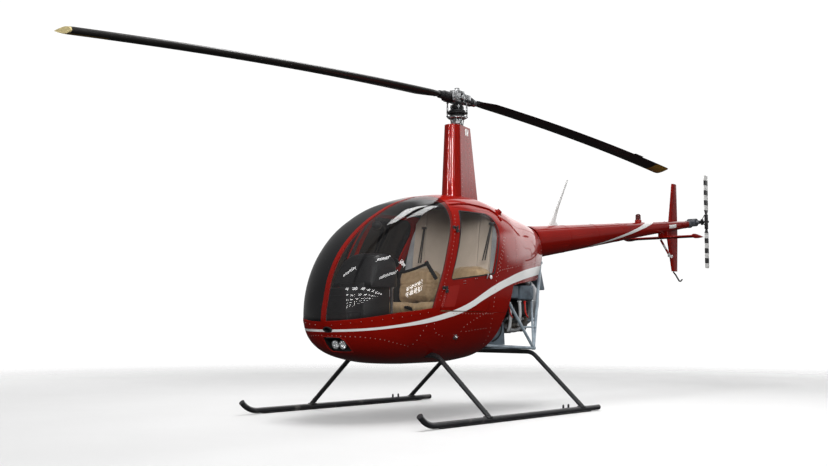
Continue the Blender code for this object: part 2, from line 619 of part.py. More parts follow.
crossing = rod("crossing", (-0.600, -0.215, 0.605), (-0.600, 0.215, 0.605), 0.030, 12)
exhaust = united("exhaust", [mufflers[0], mufflers[1], crossing, *pipes], "exhaust_metal")
for number, (x, side) in enumerate(CYLINDERS):
    inner_end, outer_end = (x, side * 0.10, CYLINDER_Z), (x, side * 0.40, CYLINDER_Z)
    room = rod("cylinder_room", inner_end, outer_end, CYLINDER_RADIUS + TOUCH, 12)
    boolean(exhaust, add_cutter(f"cylinder_room_{number}", room), "DIFFERENCE")
air_box_outline = ((-0.135, 0.600), (0.065 - TOUCH, 0.600), (0.040 - TOUCH, 0.740), (0.018 - TOUCH, 0.790),
                   (-0.135, 0.790))
add_part("air_box", prism("air_box", air_box_outline, 0.135, 0.330), "frame_paint")

# Welded steel frame that carries the engine and the tail
CORNER = (-0.474, 0.450, 0.5139)
TAIL_JOINT = (-1.007, 0.165, 1.270)
TUBE_RADIUS = 0.0125
frame_tubes = []
links = (
    (CORNER, TAIL_JOINT, 1.15),
    (CORNER, (0.010, 0.440, 0.890), 1.0),
    (CORNER, (0.110, 0.330, 0.545), 1.0),
    (CORNER, (0.130, 0.100, 0.5175), 0.8),
    (CORNER, (-0.700, 0.270, 1.075), 0.8),
    ((-0.637, 0.362, 0.750), (-0.560, 0.060, 0.735), 0.7),
)
for start, end, scale in links:
    for side in (1, -1):
        ends = [(x, side * y, z) for x, y, z in (start, end)]
        frame_tubes.append(tube("frame_tube", ends, TUBE_RADIUS * scale))
cross_tubes = []
for (x, y, z), past_joint, scale in ((CORNER, 0.010, 1.0), (TAIL_JOINT, 0.005, 1.15)):
    cross_tubes.append(tube("frame_cross", ((x, -y - past_joint, z), (x, y + past_joint, z)), TUBE_RADIUS * scale))
frame = united("engine_frame", [*cross_tubes, *frame_tubes], "frame_paint")
ahead = [(x - TOUCH, z) for x, z in FIREWALL] + [(0.600, 1.800), (0.600, 0.450)]
boolean(frame, add_cutter("ahead_of_firewall", prism("ahead_of_firewall", ahead, -0.9, 0.9)), "DIFFERENCE")
crankcase_room = box("crankcase_room", (-0.680 - TOUCH, -0.130 - TOUCH, 0.640), (-0.130, 0.130 + TOUCH, 1.000))
boolean(frame, add_cutter("crankcase_room", crankcase_room), "DIFFERENCE")

# Mast fairing, a teardrop in plan that narrows upward
FAIRING_TOP = 2.410


def teardrop(z, nose_x, nose_radius, tail_x, steps=8):
    """A round nose with two flat sides that meet at a blunt trailing edge."""
    reach = nose_x - tail_x
    lean = math.asin((nose_radius - 0.006) / reach)
    arc = [(nose_x + nose_radius * math.cos(angle), nose_radius * math.sin(angle))
           for angle in np.linspace(-(math.pi / 2 + lean), math.pi / 2 + lean, 2 * steps + 1)]
    return [(x, y, z) for x, y in arc + [(tail_x, 0.006), (tail_x, -0.006)]]


fairing_rings = [teardrop(1.660, 0.072, 0.093, -0.300), teardrop(FAIRING_TOP, 0.060, 0.070, -0.174)]
fairing = add_part("mast_fairing", loft("mast_fairing", fairing_rings), "red_paint", 20.0)
boolean(fairing, OUTSIDE, "DIFFERENCE")

# Swashplate, mast and teetering hub
MAST_RADIUS = 0.030
swash_profile = ((0.036, FAIRING_TOP + TOUCH), (0.055, FAIRING_TOP + TOUCH), (0.052, 2.470), (0.060, 2.485),
                 (0.083, 2.490), (0.083, 2.512), (0.036, 2.512))
add_part("swashplate", turned("swashplate", swash_profile, (0, 0, 0)), "bare_metal")
MAST_TOP = HUB_Z - 0.045 - TOUCH
mast_profile = ((0.0, FAIRING_TOP + TOUCH), (MAST_RADIUS, FAIRING_TOP + TOUCH), (MAST_RADIUS, 2.518),
                (0.065, 2.520), (0.100, 2.527), (0.100, 2.540), (0.065, 2.548), (MAST_RADIUS, 2.550),
                (MAST_RADIUS, MAST_TOP), (0.0, MAST_TOP))
add_part("rotor_mast", turned("rotor_mast", mast_profile, (0, 0, 0)), "black_paint")
hub_block = box("hub_block", (-0.075, -0.040, HUB_Z - 0.045), (0.075, 0.040, HUB_Z + 0.042))
hub_cap = rod("hub_cap", (0, 0, HUB_Z + 0.03), (0, 0, HUB_Z + 0.091), 0.030, 16, 0.022)
teeter_bolt = rod("teeter_bolt", (0, -0.072, HUB_Z), (0, 0.072, HUB_Z), 0.018, 12)
hub_parts = [hub_block, hub_cap, teeter_bolt]
for side in (1, -1):
    spindle_end = (side * (BLADE_ROOT + 0.045), 0, HUB_Z - 0.002)
    hub_parts.append(rod("spindle", (side * 0.05, 0, HUB_Z), spindle_end, 0.034, 16, 0.028))
    horn_x = sorted((side * 0.045, side * 0.135))
    horn_y = sorted((0.0, -side * 0.070))
    horn_low = (horn_x[0], horn_y[0], HUB_Z - 0.030)
    hub_parts.append(box("pitch_horn", horn_low, (horn_x[1], horn_y[1], HUB_Z - 0.006)))
    bolt_z = HUB_Z + 0.002
    hub_parts.append(rod("coning_bolt", (side * 0.062, -0.058, bolt_z), (side * 0.062, 0.058, bolt_z), 0.014, 12))
united("rotor_hub", hub_parts, "bare_metal", axis=ROTOR)
for side, link_name in ((1, "pitch_link_front"), (-1, "pitch_link_rear")):
    low_end = (side * 0.062, -side * 0.052, 2.5467)
    high_end = (side * 0.062, -side * 0.052, HUB_Z - 0.030 - TOUCH)
    add_part(link_name, rod(link_name, low_end, high_end, 0.008, 10), "bare_metal", axis=ROTOR)


# Blades
def blade_section(chord, thickness, pitch=0.0):
    """Closed aerofoil outline as (along chord, height) pairs, leading edge at a quarter chord ahead."""
    upper = []
    for part in (1.0, 0.80, 0.55, 0.30, 0.12, 0.03, 0.0):
        half = 5 * thickness * (0.2969 * math.sqrt(part) - 0.126 * part - 0.3516 * part ** 2
                                + 0.2843 * part ** 3 - 0.1036 * part ** 4)
        upper.append(((0.25 - part) * chord, max(half, 0.0012)))
    upper[-1] = (upper[-1][0], 0.0)
    outline = upper + [(place, -half) for place, half in reversed(upper[:-1])]
    cosine, sine = math.cos(pitch), math.sin(pitch)
    return [(place * cosine - height * sine, place * sine + height * cosine) for place, height in outline]


def blade_height(reach):
    """Height of the blade's axis at a distance from the mast: it hangs more and more towards the tip."""
    part = reach / ROTOR_RADIUS
    return HUB_Z + 0.006 - BLADE_SAG[0] * part - BLADE_SAG[1] * part ** 2


def blade_pitch(reach):
    root, tip = BLADE_PITCH
    return root + (tip - root) * reach / ROTOR_RADIUS


ROOT_CHORD = 0.105
# Blade sections: distance from the mast, chord, thickness
BLADE_STATIONS = ((BLADE_ROOT + 0.0455, ROOT_CHORD, 0.044), (BLADE_ROOT + 0.08, 0.125, 0.046),
                  (BLADE_ROOT + 0.185, BLADE_CHORD, BLADE_THICKNESS), (1.00, BLADE_CHORD, BLADE_THICKNESS),
                  (1.70, BLADE_CHORD, BLADE_THICKNESS), (2.40, BLADE_CHORD, BLADE_THICKNESS),
                  (3.10, BLADE_CHORD, BLADE_THICKNESS), (ROTOR_RADIUS - 0.05, BLADE_CHORD, BLADE_THICKNESS),
                  (ROTOR_RADIUS, BLADE_CHORD * TIP_TAPER, BLADE_THICKNESS * TIP_TAPER))
TAB_REACH = (2.99, 3.17)
TAB_THICKNESS = 0.0016
for side, blade_name in ((1, "main_blade_front"), (-1, "main_blade_rear")):
    rings = []
    for reach, chord, thickness in BLADE_STATIONS:
        rings.append([(side * reach, side * along, blade_height(reach) + height)
                      for along, height in blade_section(chord, thickness, blade_pitch(reach))])
    blade = add_part(blade_name, loft(blade_name, rings), "blade_paint", 40.0, ROTOR)
    tab_rings = []
    for reach in TAB_REACH:
        pitch = blade_pitch(reach)
        corners = [(place, height) for place, height in ((-0.75 * BLADE_CHORD + 0.008, TAB_THICKNESS / 2),
                                                         (-0.75 * BLADE_CHORD - 0.022, TAB_THICKNESS / 2),
                                                         (-0.75 * BLADE_CHORD - 0.022, -TAB_THICKNESS / 2),
                                                         (-0.75 * BLADE_CHORD + 0.008, -TAB_THICKNESS / 2))]
        tab_rings.append([(side * reach, side * place, blade_height(reach) + place * math.sin(pitch) + height)
                          for place, height in corners])
    boolean(blade, add_cutter(f"{blade_name}_tab", loft("trim_tab", tab_rings), ROTOR), "UNION")

# Tailcone and what stands on it
def tail_ring(x, z, radius, sides=24):
    turns = [math.tau * k / sides for k in range(sides)]
    return [(x, radius * math.sin(turn), z + radius * math.cos(turn)) for turn in turns]


add_part("tailcone", loft("tailcone", [tail_ring(*row) for row in TAILCONE_SECTIONS]), "red_paint")
tail_skin_rings = [tail_ring(x, z, radius + TOUCH) for x, z, radius in TAILCONE_SECTIONS]
TAIL_SKIN = add_cutter("tail_skin", loft("tail_skin", tail_skin_rings))
duct_rings = [[(-1.0345, -0.100, 1.345), (-1.0345, 0.100, 1.345), (-1.100, 0.085, 1.345), (-1.100, -0.085, 1.345)],
              [(-1.0345, -0.135, 1.025), (-1.0345, 0.135, 1.025), (-1.150, 0.120, 1.025), (-1.150, -0.120, 1.025)]]
duct = add_part("tail_duct", loft("tail_duct", duct_rings), "frame_paint")
boolean(duct, TAIL_SKIN, "DIFFERENCE")


def fin_ring(leading, trailing, y, z, thickness):
    chord = leading - trailing
    shape = ((0.0, 0.0), (0.06, 0.32), (0.25, 0.5), (0.6, 0.42), (1.0, 0.06))
    left = [(leading - part * chord, y + width * thickness, z) for part, width in shape]
    right = [(leading - part * chord, y - width * thickness, z) for part, width in reversed(shape[1:])]
    return left + right


# Fin heights: z, leading edge, trailing edge
FIN_Y = -0.082
FIN_SECTIONS = ((1.305, -4.032, -4.164), (1.670, -3.927, -4.182), (1.880, -3.970, -4.182), (2.310, -4.060, -4.173))
fin_rings = [fin_ring(leading, trailing, FIN_Y, z, 0.028) for z, leading, trailing in FIN_SECTIONS]
fin = add_part("vertical_fin", loft("vertical_fin", fin_rings), "red_paint")
fin_bracket = box("fin_bracket", (-4.150, FIN_Y, 1.800), (-4.000, -0.030, 1.850))
boolean(fin, add_cutter("fin_bracket", fin_bracket), "UNION")
boolean(fin, TAIL_SKIN, "DIFFERENCE")

STAB_X = -3.680
STAB_Z = 1.660
STAB_HALF = 0.420
STAB_CHORD = 0.220
stab_rings = []
STAB_END = ((STAB_HALF, 1.25, 0.028), (STAB_HALF - 0.012, 1.3, 0.050), (STAB_HALF - 0.0125, 1.0, 0.030))
for y, scale, thickness in [(-y, scale, thickness) for y, scale, thickness in STAB_END] + list(reversed(STAB_END)):
    chord = STAB_CHORD * scale
    shape = ((0.0, 0.0), (0.08, 0.34), (0.30, 0.5), (0.65, 0.36), (1.0, 0.04))
    front = STAB_X + chord / 2
    over = [(front - part * chord, y, STAB_Z + width * thickness) for part, width in shape]
    under = [(front - part * chord, y, STAB_Z - width * thickness) for part, width in reversed(shape[1:])]
    stab_rings.append(over + under)
stabiliser = add_part("stabiliser", loft("stabiliser", stab_rings), "red_paint")
for number, x in enumerate((-3.625, -3.720)):
    plate = box("stab_plate", (x - 0.006, -0.030, 1.664), (x + 0.006, 0.030, 1.760))
    boolean(stabiliser, add_cutter(f"stab_plate_{number}", plate), "UNION")
boolean(stabiliser, TAIL_SKIN, "DIFFERENCE")

skid_bend = ((-4.071, FIN_Y, 1.2973), (-4.130, FIN_Y, 1.262), (-4.208, FIN_Y, 1.200), (-4.240, FIN_Y, 1.196),
             (-4.281, FIN_Y, 1.218))
add_part("tail_skid", tube("tail_skid", skid_bend, 0.009), "black_paint")
guard = tube("tail_guard", ((-3.705, -0.040, 1.6386), (-3.935, -0.040, 1.450)), 0.013)
guard_clip = box("guard_clip", (-3.990, FIN_Y + 0.0145, 1.462), (-3.905, -0.040, 1.486))
united("tail_guard", [guard, guard_clip], "white_paint")

antenna_rings = []
# Antenna sections: height, leading edge, trailing edge, half thickness
ANTENNA_SECTIONS = ((1.600, -1.392, -1.600, 0.011), (1.660, -1.400, -1.560, 0.010), (1.700, -1.432, -1.520, 0.008),
                    (1.820, -1.513, -1.572, 0.006), (2.120, -1.722, -1.746, 0.004))
for z, front, back, half in ANTENNA_SECTIONS:
    widest = front - 0.25 * (front - back)
    left = [(front, 0.0, z), (widest, half, z), (back, 0.001, z)]
    antenna_rings.append([*left, (back, -0.001, z), (widest, -half, z)])
antenna = add_part("antenna", loft("antenna", antenna_rings), "white_paint")
boolean(antenna, TAIL_SKIN, "DIFFERENCE")
beacon_profile = ((0.0, 1.770), (0.036, 1.770), (0.036, 1.822), (0.029, 1.826), (0.029, 1.872), (0.016, 1.888),
                  (0.0, 1.890))
beacon = add_part("beacon", turned("beacon", beacon_profile, (-3.125, 0, 0)), "red_paint")
boolean(beacon, TAIL_SKIN, "DIFFERENCE")

# Tail gearbox, hub and blades
gear_case = rod("gear_case", (-4.2405, 0, 1.850), (-4.345, 0, 1.850), 0.043, 16, 0.036)
gear_ball = rod("gear_ball", (-TAIL_ARM, -0.048, TAIL_ROTOR_Z), (-TAIL_ARM, 0.060, TAIL_ROTOR_Z), 0.046, 16)
gear_neck = rod("gear_neck", (-4.300, 0, 1.862), (-TAIL_ARM, 0, TAIL_ROTOR_Z), 0.032, 12)
neck_ends = ((-TAIL_ARM, 0.05, TAIL_ROTOR_Z), (-TAIL_ARM, 0.098, TAIL_ROTOR_Z))
output_neck = rod("output_neck", *neck_ends, 0.030, 16, 0.020)
united("tail_gearbox", [gear_case, gear_neck, gear_ball, output_neck], "black_paint")
shaft_start = 0.098 + TOUCH
shaft_end = (-TAIL_ARM, TAIL_ROTOR_Y + 0.030, TAIL_ROTOR_Z)
tail_shaft = rod("tail_shaft", (-TAIL_ARM, shaft_start, TAIL_ROTOR_Z), shaft_end, 0.012, 12)
spider = rod("spider", (-TAIL_ARM, 0.118, TAIL_ROTOR_Z), (-TAIL_ARM, 0.134, TAIL_ROTOR_Z), 0.036, 12)
tail_yoke = box("tail_yoke", (-TAIL_ARM - 0.022, TAIL_ROTOR_Y - 0.014, TAIL_ROTOR_Z - 0.085),
                (-TAIL_ARM + 0.022, TAIL_ROTOR_Y + 0.014, TAIL_ROTOR_Z + 0.085))
united("tail_rotor_hub", [tail_shaft, spider, tail_yoke], "black_paint")
for side, blade_name in ((1, "tail_blade_upper"), (-1, "tail_blade_lower")):
    rings = []
    for reach, chord in ((0.0854, 0.050), (0.130, TAIL_BLADE_CHORD), (TAIL_ROTOR_RADIUS - 0.012, TAIL_BLADE_CHORD),
                         (TAIL_ROTOR_RADIUS, TAIL_BLADE_CHORD * 0.86)):
        z = TAIL_ROTOR_Z + side * reach
        rings.append([(-TAIL_ARM + side * (along + 0.25 * chord), TAIL_ROTOR_Y + height, z)
                      for along, height in blade_section(chord, 0.013)])
    add_part(blade_name, loft(blade_name, rings), "blade_paint", 40.0)
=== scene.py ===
import json
import math

import bmesh
import bpy
import numpy as np
from mathutils import Matrix, Vector
from mathutils.bvhtree import BVHTree
from mathutils.interpolate import poly_3d_calc

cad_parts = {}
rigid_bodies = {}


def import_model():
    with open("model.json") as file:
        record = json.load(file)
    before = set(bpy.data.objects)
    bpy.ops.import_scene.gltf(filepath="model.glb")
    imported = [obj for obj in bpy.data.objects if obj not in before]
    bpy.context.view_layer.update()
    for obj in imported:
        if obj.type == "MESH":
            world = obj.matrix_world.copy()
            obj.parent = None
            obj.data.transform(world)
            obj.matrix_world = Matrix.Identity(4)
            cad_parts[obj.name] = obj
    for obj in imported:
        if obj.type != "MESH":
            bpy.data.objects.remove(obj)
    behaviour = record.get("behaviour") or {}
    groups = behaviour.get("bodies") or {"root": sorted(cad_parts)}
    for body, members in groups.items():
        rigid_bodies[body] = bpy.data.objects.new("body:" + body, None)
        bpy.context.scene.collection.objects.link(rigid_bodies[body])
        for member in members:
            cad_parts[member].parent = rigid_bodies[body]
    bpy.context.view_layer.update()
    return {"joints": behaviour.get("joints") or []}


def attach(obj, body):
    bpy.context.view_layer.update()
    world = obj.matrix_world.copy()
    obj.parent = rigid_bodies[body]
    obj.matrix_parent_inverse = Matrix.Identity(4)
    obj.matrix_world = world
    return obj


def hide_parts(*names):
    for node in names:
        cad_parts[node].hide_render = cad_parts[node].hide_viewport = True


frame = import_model()

# Place of the machine. Every size in this file is taken from the main mast's axis, with X forward, Y to
# the left and Z up from the floor, and each mesh is moved to the frame's origin when it is done.
MAST_X = next(joint["pos_m"][0] for joint in frame["joints"] if joint["name"] == "main_rotor_spin")
TO_FRAME = Matrix.Translation((MAST_X, 0.0, 0.0))

# Camera. A photographer's short telephoto lens, held at chest height off the machine's left bow. Its
# place, turn and length were worked out from known sizes of the machine.
CAMERA_PLACE = Vector((7.2011, 5.705, 0.7585))
CAMERA_YAW = math.radians(220.686)
CAMERA_PITCH = math.radians(4.5434)
CAMERA_ROLL = math.radians(0.1278)
CAMERA_LENS = 46.98


def linked(name, data):
    """An object with this data, in the scene."""
    made = bpy.data.objects.new(name, data)
    bpy.context.scene.collection.objects.link(made)
    return made


view = Vector((math.cos(CAMERA_YAW) * math.cos(CAMERA_PITCH), math.sin(CAMERA_YAW) * math.cos(CAMERA_PITCH),
    math.sin(CAMERA_PITCH)))
level_right = view.cross(Vector((0, 0, 1))).normalized()
level_up = level_right.cross(view)
camera_right = level_right * math.cos(CAMERA_ROLL) + level_up * math.sin(CAMERA_ROLL)
camera_up = level_up * math.cos(CAMERA_ROLL) - level_right * math.sin(CAMERA_ROLL)
camera_data = bpy.data.cameras.new("camera")
camera_data.lens = CAMERA_LENS
camera_data.sensor_width = 36.0
camera_data.clip_end = 200.0
camera = linked("camera", camera_data)
turn = Matrix((camera_right, camera_up, -view)).transposed().to_4x4()
camera.matrix_world = Matrix.Translation(TO_FRAME @ CAMERA_PLACE) @ turn
bpy.context.scene.camera = camera


class Wire:
    """A value inside a material. Arithmetic on it adds the Math nodes."""

    def __init__(self, tree, socket=None):
        self.tree = tree
        self.socket = socket

    def node(self, kind, sockets=None, out=0, **settings):
        made = self.tree.nodes.new(kind)
        for name, setting in settings.items():
            setattr(made, name, setting)
        for key, value in (sockets or {}).items():
            if isinstance(value, Wire):
                self.tree.links.new(value.socket, made.inputs[key])
            else:
                made.inputs[key].default_value = value
        return Wire(self.tree, made.outputs[out])

    def math(self, operation, *values):
        """One Math node, on this value alone when no others are given."""
        return self.node("ShaderNodeMath", dict(enumerate(values or (self,))), operation=operation)

    def __add__(self, other):
        return self.math("ADD", self, other)

    def __radd__(self, other):
        return self.math("ADD", other, self)

    def __sub__(self, other):
        return self.math("SUBTRACT", self, other)

    def __rsub__(self, other):
        return self.math("SUBTRACT", other, self)

    def __mul__(self, other):
        return self.math("MULTIPLY", self, other)

    def __rmul__(self, other):
        return self.math("MULTIPLY", other, self)

    def __truediv__(self, other):
        return self.math("DIVIDE", self, other)

    def __gt__(self, other):
        return self.math("GREATER_THAN", self, other)

    def __lt__(self, other):
        return self.math("LESS_THAN", self, other)

    def step(self, low, high, start=0.0, end=1.0):
        """Runs from start to end while the value goes from low to high."""
        return self.node("ShaderNodeMapRange", {0: self, 1: low, 2: high, 3: start, 4: end},
            interpolation_type="SMOOTHSTEP")

    def place(self):
        return self.node("ShaderNodeTexCoord", out=3)

    def axes(self, vector=None):
        split = self.tree.nodes.new("ShaderNodeSeparateXYZ")
        self.tree.links.new((vector or self.place()).socket, split.inputs[0])
        return [Wire(self.tree, output) for output in split.outputs]

    def noise(self, scale, detail=2.0, rough=0.5, stretch=None):
        where = self.place()
        if stretch:
            where = self.node("ShaderNodeMapping", {"Vector": where, "Scale": stretch})
        return self.node("ShaderNodeTexNoise", {"Vector": where, "Scale": scale, "Detail": detail,
            "Roughness": rough})

    def cells(self, scale, **settings):
        return self.node("ShaderNodeTexVoronoi", {"Vector": self.place(), "Scale": scale}, **settings)

    def waves(self, scale, way):
        return self.node("ShaderNodeTexWave", {"Vector": self.place(), "Scale": scale}, out=1,
            bands_direction=way)

    def blend(self, factor, first, second):
        """Goes from one colour to another."""
        made = self.tree.nodes.new("ShaderNodeMix")
        made.data_type = "RGBA"
        for socket, value in ((made.inputs[0], factor), (made.inputs[6], first), (made.inputs[7], second)):
            if isinstance(value, Wire):
                self.tree.links.new(value.socket, socket)
            else:
                socket.default_value = (*value, 1.0)
        return Wire(self.tree, made.outputs[2])


class Finish:
    """A material on one Principled shader, whose sockets take fixed values or wires."""

    def __init__(self, name, color, roughness, metallic=0.0, **fixed):
        self.material = bpy.data.materials.new(name)
        self.material.use_nodes = True
        self.tree = self.material.node_tree
        self.shader = self.tree.nodes["Principled BSDF"]
        self.start = Wire(self.tree)
        self.set("Base Color", (*color, 1.0))
        self.set("Roughness", roughness)
        self.set("Metallic", metallic)
        for key, value in fixed.items():
            self.set(key.replace("_", " "), value)

    def set(self, socket, value):
        if isinstance(value, Wire):
            self.tree.links.new(value.socket, self.shader.inputs[socket])
        else:
            self.shader.inputs[socket].default_value = value

    def noise(self, *values, **settings):
        return self.start.noise(*values, **settings)

    def tone(self, factor, light, dark):
        """Lets the colour drift between two."""
        self.set("Base Color", self.start.blend(factor, light, dark))

    def rough(self, value):
        self.set("Roughness", value)

    def bump(self, height, distance, strength=1.0):
        self.set("Normal", self.start.node("ShaderNodeBump",
            {"Height": height, "Distance": distance, "Strength": strength}))


def piece(name, mesh, finish, replaces="", body="airframe", smooth=30.0, skin=0.0):
    """Puts a finished mesh in the frame and says what it rides on and stands for."""
    mesh = joined(mesh) if isinstance(mesh, list) else mesh
    mesh.transform(TO_FRAME)
    mesh.shade_smooth()
    mesh.set_sharp_from_angle(angle=math.radians(smooth))
    if skin:
        skin_normals(mesh, skin)
    made = linked(name, mesh)
    mesh.materials.clear()
    mesh.materials.append(finish.material)
    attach(made, body)
    if replaces:
        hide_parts(replaces)
    return made


def mesh_from(bm, recalc=True):
    """A plain mesh from the working one, with its faces turned outwards where asked."""
    mesh = bpy.data.meshes.new("work")
    if recalc:
        bmesh.ops.recalc_face_normals(bm, faces=bm.faces)
    bm.to_mesh(mesh)
    bm.free()
    return mesh


def joined(meshes):
    """One mesh from several."""
    bm = bmesh.new()
    for mesh in meshes:
        bm.from_mesh(mesh)
    return mesh_from(bm, recalc=False)


def final_mesh(holder):
    """The object's final shape as a plain mesh. The object itself goes."""
    bpy.context.view_layer.update()
    mesh = bpy.data.meshes.new_from_object(holder.evaluated_get(bpy.context.evaluated_depsgraph_get()))
    holder.modifiers.clear()
    bpy.data.objects.remove(holder, do_unlink=True)
    return mesh


def evaluated(mesh, modifiers):
    """A mesh with modifiers applied to it. Each modifier is its type and its settings."""
    holder = linked("work", mesh)
    for kind, settings in modifiers:
        step = holder.modifiers.new(kind, kind)
        for key, value in settings.items():
            setattr(step, key, value)
    return final_mesh(holder)


def eased(mesh, width, segments=3):
    """The mesh with its edges rounded over."""
    return evaluated(mesh, [("BEVEL", {"width": width, "segments": segments})])


def mirrored(mesh):
    """The same piece for the other side."""
    bm = bmesh.new()
    bm.from_mesh(mesh)
    bmesh.ops.scale(bm, vec=(1, -1, 1), verts=bm.verts)
    bmesh.ops.reverse_faces(bm, faces=bm.faces)
    return mesh_from(bm, recalc=False)


# Fuselage form. Riveted aluminium skin over formers: an egg in side view, fullest at the doors, that
# draws in to the tailcone. Each section is a squashed oval with its own height, width and squareness.
BODY_SECTIONS = (
    (1.592, 0.757, 0.757, 0.000, 0.757, 2.0, 2.0),
    (1.572, 0.880, 0.640, 0.150, 0.760, 2.0, 2.1),
    (1.530, 1.050, 0.572, 0.255, 0.770, 2.1, 2.2),
    (1.440, 1.222, 0.500, 0.365, 0.790, 2.4, 2.3),
    (1.287, 1.390, 0.450, 0.455, 0.815, 2.8, 2.4),
    (1.056, 1.553, 0.415, 0.525, 0.850, 3.2, 2.4),
    (0.744, 1.697, 0.405, 0.556, 0.890, 3.4, 2.4),
    (0.400, 1.775, 0.405, 0.560, 0.930, 3.2, 2.3),
    (0.100, 1.785, 0.430, 0.545, 0.970, 2.8, 2.3),
    (-0.200, 1.750, 0.520, 0.500, 1.000, 2.6, 2.3),
    (-0.500, 1.690, 0.760, 0.410, 1.090, 2.4, 2.3),
    (-0.800, 1.635, 0.950, 0.290, 1.250, 2.3, 2.3),
    (-1.030, 1.600, 1.080, 0.172, 1.340, 2.2, 2.2),
)
NOSE_X = BODY_SECTIONS[0][0]
BODY_END = BODY_SECTIONS[-1][0]


def section_at(x):
    """Top, bottom, half width, widest height and two powers of a section, by a monotone curve."""
    knots = np.sqrt(NOSE_X - np.array([row[0] for row in BODY_SECTIONS]))
    at = math.sqrt(max(NOSE_X - x, 0.0))
    index = int(np.clip(np.searchsorted(knots, at) - 1, 0, len(knots) - 2))
    values = []
    for column in range(1, 7):
        heights = np.array([row[column] for row in BODY_SECTIONS])
        spans = np.diff(knots)
        slopes = np.diff(heights) / spans

        def tangent(k):
            if k == 0 or k == len(knots) - 1:
                return slopes[0] if k == 0 else slopes[-1]
            if slopes[k - 1] * slopes[k] <= 0:
                return 0.0
            near = 2 * spans[k] + spans[k - 1]
            far = spans[k] + 2 * spans[k - 1]
            return (near + far) / (near / slopes[k - 1] + far / slopes[k])

        span = spans[index]
        part = (at - knots[index]) / span
        values.append(heights[index] * (1 + 2 * part) * (1 - part) ** 2 + heights[index + 1] * part ** 2
            * (3 - 2 * part) + span * part * (1 - part)
            * (tangent(index) * (1 - part) - tangent(index + 1) * part))
    return values


def skin_y(x, z):
    """Half width of the body at a place in side view."""
    top, bottom, half, widest, upper, lower = section_at(x)
    reach, power = (top - widest, upper) if z >= widest else (widest - bottom, lower)
    part = min(abs(z - widest) / max(reach, 1e-6), 1.0)
    return half * (1 - part ** power) ** (1 / power)


def on_skin(x, z, side=1, lift=0.0):
    """Point and outward normal on the body's skin, from a place in side view."""
    y = skin_y(x, z)
    slope_x = (skin_y(x + 0.004, z) - skin_y(x - 0.004, z)) / 0.008
    slope_z = (skin_y(x, z + 0.004) - skin_y(x, z - 0.004)) / 0.008
    normal = Vector((-slope_x, 1.0, -slope_z)).normalized()
    point = Vector((x, y, z)) + normal * lift
    return Vector((point.x, side * point.y, point.z)), Vector((normal.x, side * normal.y, normal.z))


def body_ring(x, half_count, inset=0.0):
    """One section of the body as evenly spaced points, down its left side and up its right."""
    top, bottom, half, widest, upper, lower = section_at(x)
    angles = np.linspace(0.0, math.pi, 721)
    cosine, sine = np.cos(angles), np.sin(angles)
    power = np.where(cosine >= 0, upper, lower)
    height = np.where(cosine >= 0, top - inset - widest, widest - bottom - inset)
    ys = (half - inset) * np.abs(sine) ** (2 / power)
    zs = widest + height * np.sign(cosine) * np.abs(cosine) ** (2 / power)
    walked = np.concatenate(([0.0], np.cumsum(np.hypot(np.diff(ys), np.diff(zs)))))
    even = np.linspace(0.0, walked[-1], half_count + 1)
    ys, zs = np.interp(even, walked, ys), np.interp(even, walked, zs)
    ys[0] = ys[-1] = 0.0
    left = [(x, y, z) for y, z in zip(ys, zs)]
    return left + [(px, -py, pz) for px, py, pz in reversed(left[1:-1])]


def loft(rings, closed=True):
    """A skin through rings of points. A ring may be one point, which makes a tip."""
    bm = bmesh.new()
    made = [[bm.verts.new(point) for point in ring] for ring in rings]
    for near, far in zip(made[:-1], made[1:]):
        count = max(len(near), len(far))
        for index in range(count):
            after = (index + 1) % count
            corners = [near[index % len(near)], near[after % len(near)], far[after % len(far)],
                far[index % len(far)]]
            bm.faces.new(list(dict.fromkeys(corners)))
    for ring in (made[0], made[-1]):
        if closed and len(ring) > 2:
            bm.faces.new(ring)
    return mesh_from(bm)


SKIN_RINGS = 84
SKIN_HALF = 56
reach = math.sqrt(NOSE_X - BODY_END)
skin_places = [NOSE_X - (reach * number / SKIN_RINGS) ** 2 for number in range(1, SKIN_RINGS + 1)]
fine_skin = loft([[(NOSE_X, 0.0, BODY_SECTIONS[0][1])]] + [body_ring(x, SKIN_HALF) for x in skin_places],
    False)


def prism(outline, low_y, high_y):
    """A side-view outline of (x, z) points, drawn out along Y, to cut with."""
    bm = bmesh.new()
    face = bm.faces.new([bm.verts.new((x, low_y, z)) for x, z in outline])
    side = bmesh.ops.extrude_face_region(bm, geom=[face])["geom"]
    bmesh.ops.translate(bm, vec=(0, high_y - low_y, 0),
        verts=[item for item in side if isinstance(item, bmesh.types.BMVert)])
    return mesh_from(bm)


def cut(mesh, cuts):
    """Applies Boolean steps. Each is an operation and the mesh to cut with."""
    holders = []
    steps = []
    for operation, tool in cuts:
        holder = linked("cutter", tool)
        holders.append(holder)
        steps.append(("BOOLEAN", {"operation": operation, "solver": "EXACT", "object": holder}))
    result = evaluated(mesh, steps)
    for holder in holders:
        bpy.data.objects.remove(holder, do_unlink=True)
    return result


skin_tree = BVHTree.FromPolygons([vert.co.copy() for vert in fine_skin.vertices],
    [list(face.vertices) for face in fine_skin.polygons])


def smooth_way(point):
    """Distance from the skin, and the skin's outward direction without its facets, at a point near it."""
    spot, _, index, distance = skin_tree.find_nearest(point)
    near = [fine_skin.vertices[number] for number in fine_skin.polygons[index].vertices]
    shares = poly_3d_calc([vert.co for vert in near], spot)
    way = Vector((0.0, 0.0, 0.0))
    for share, vert in zip(shares, near):
        way += vert.normal * share
    return distance, way.normalized()


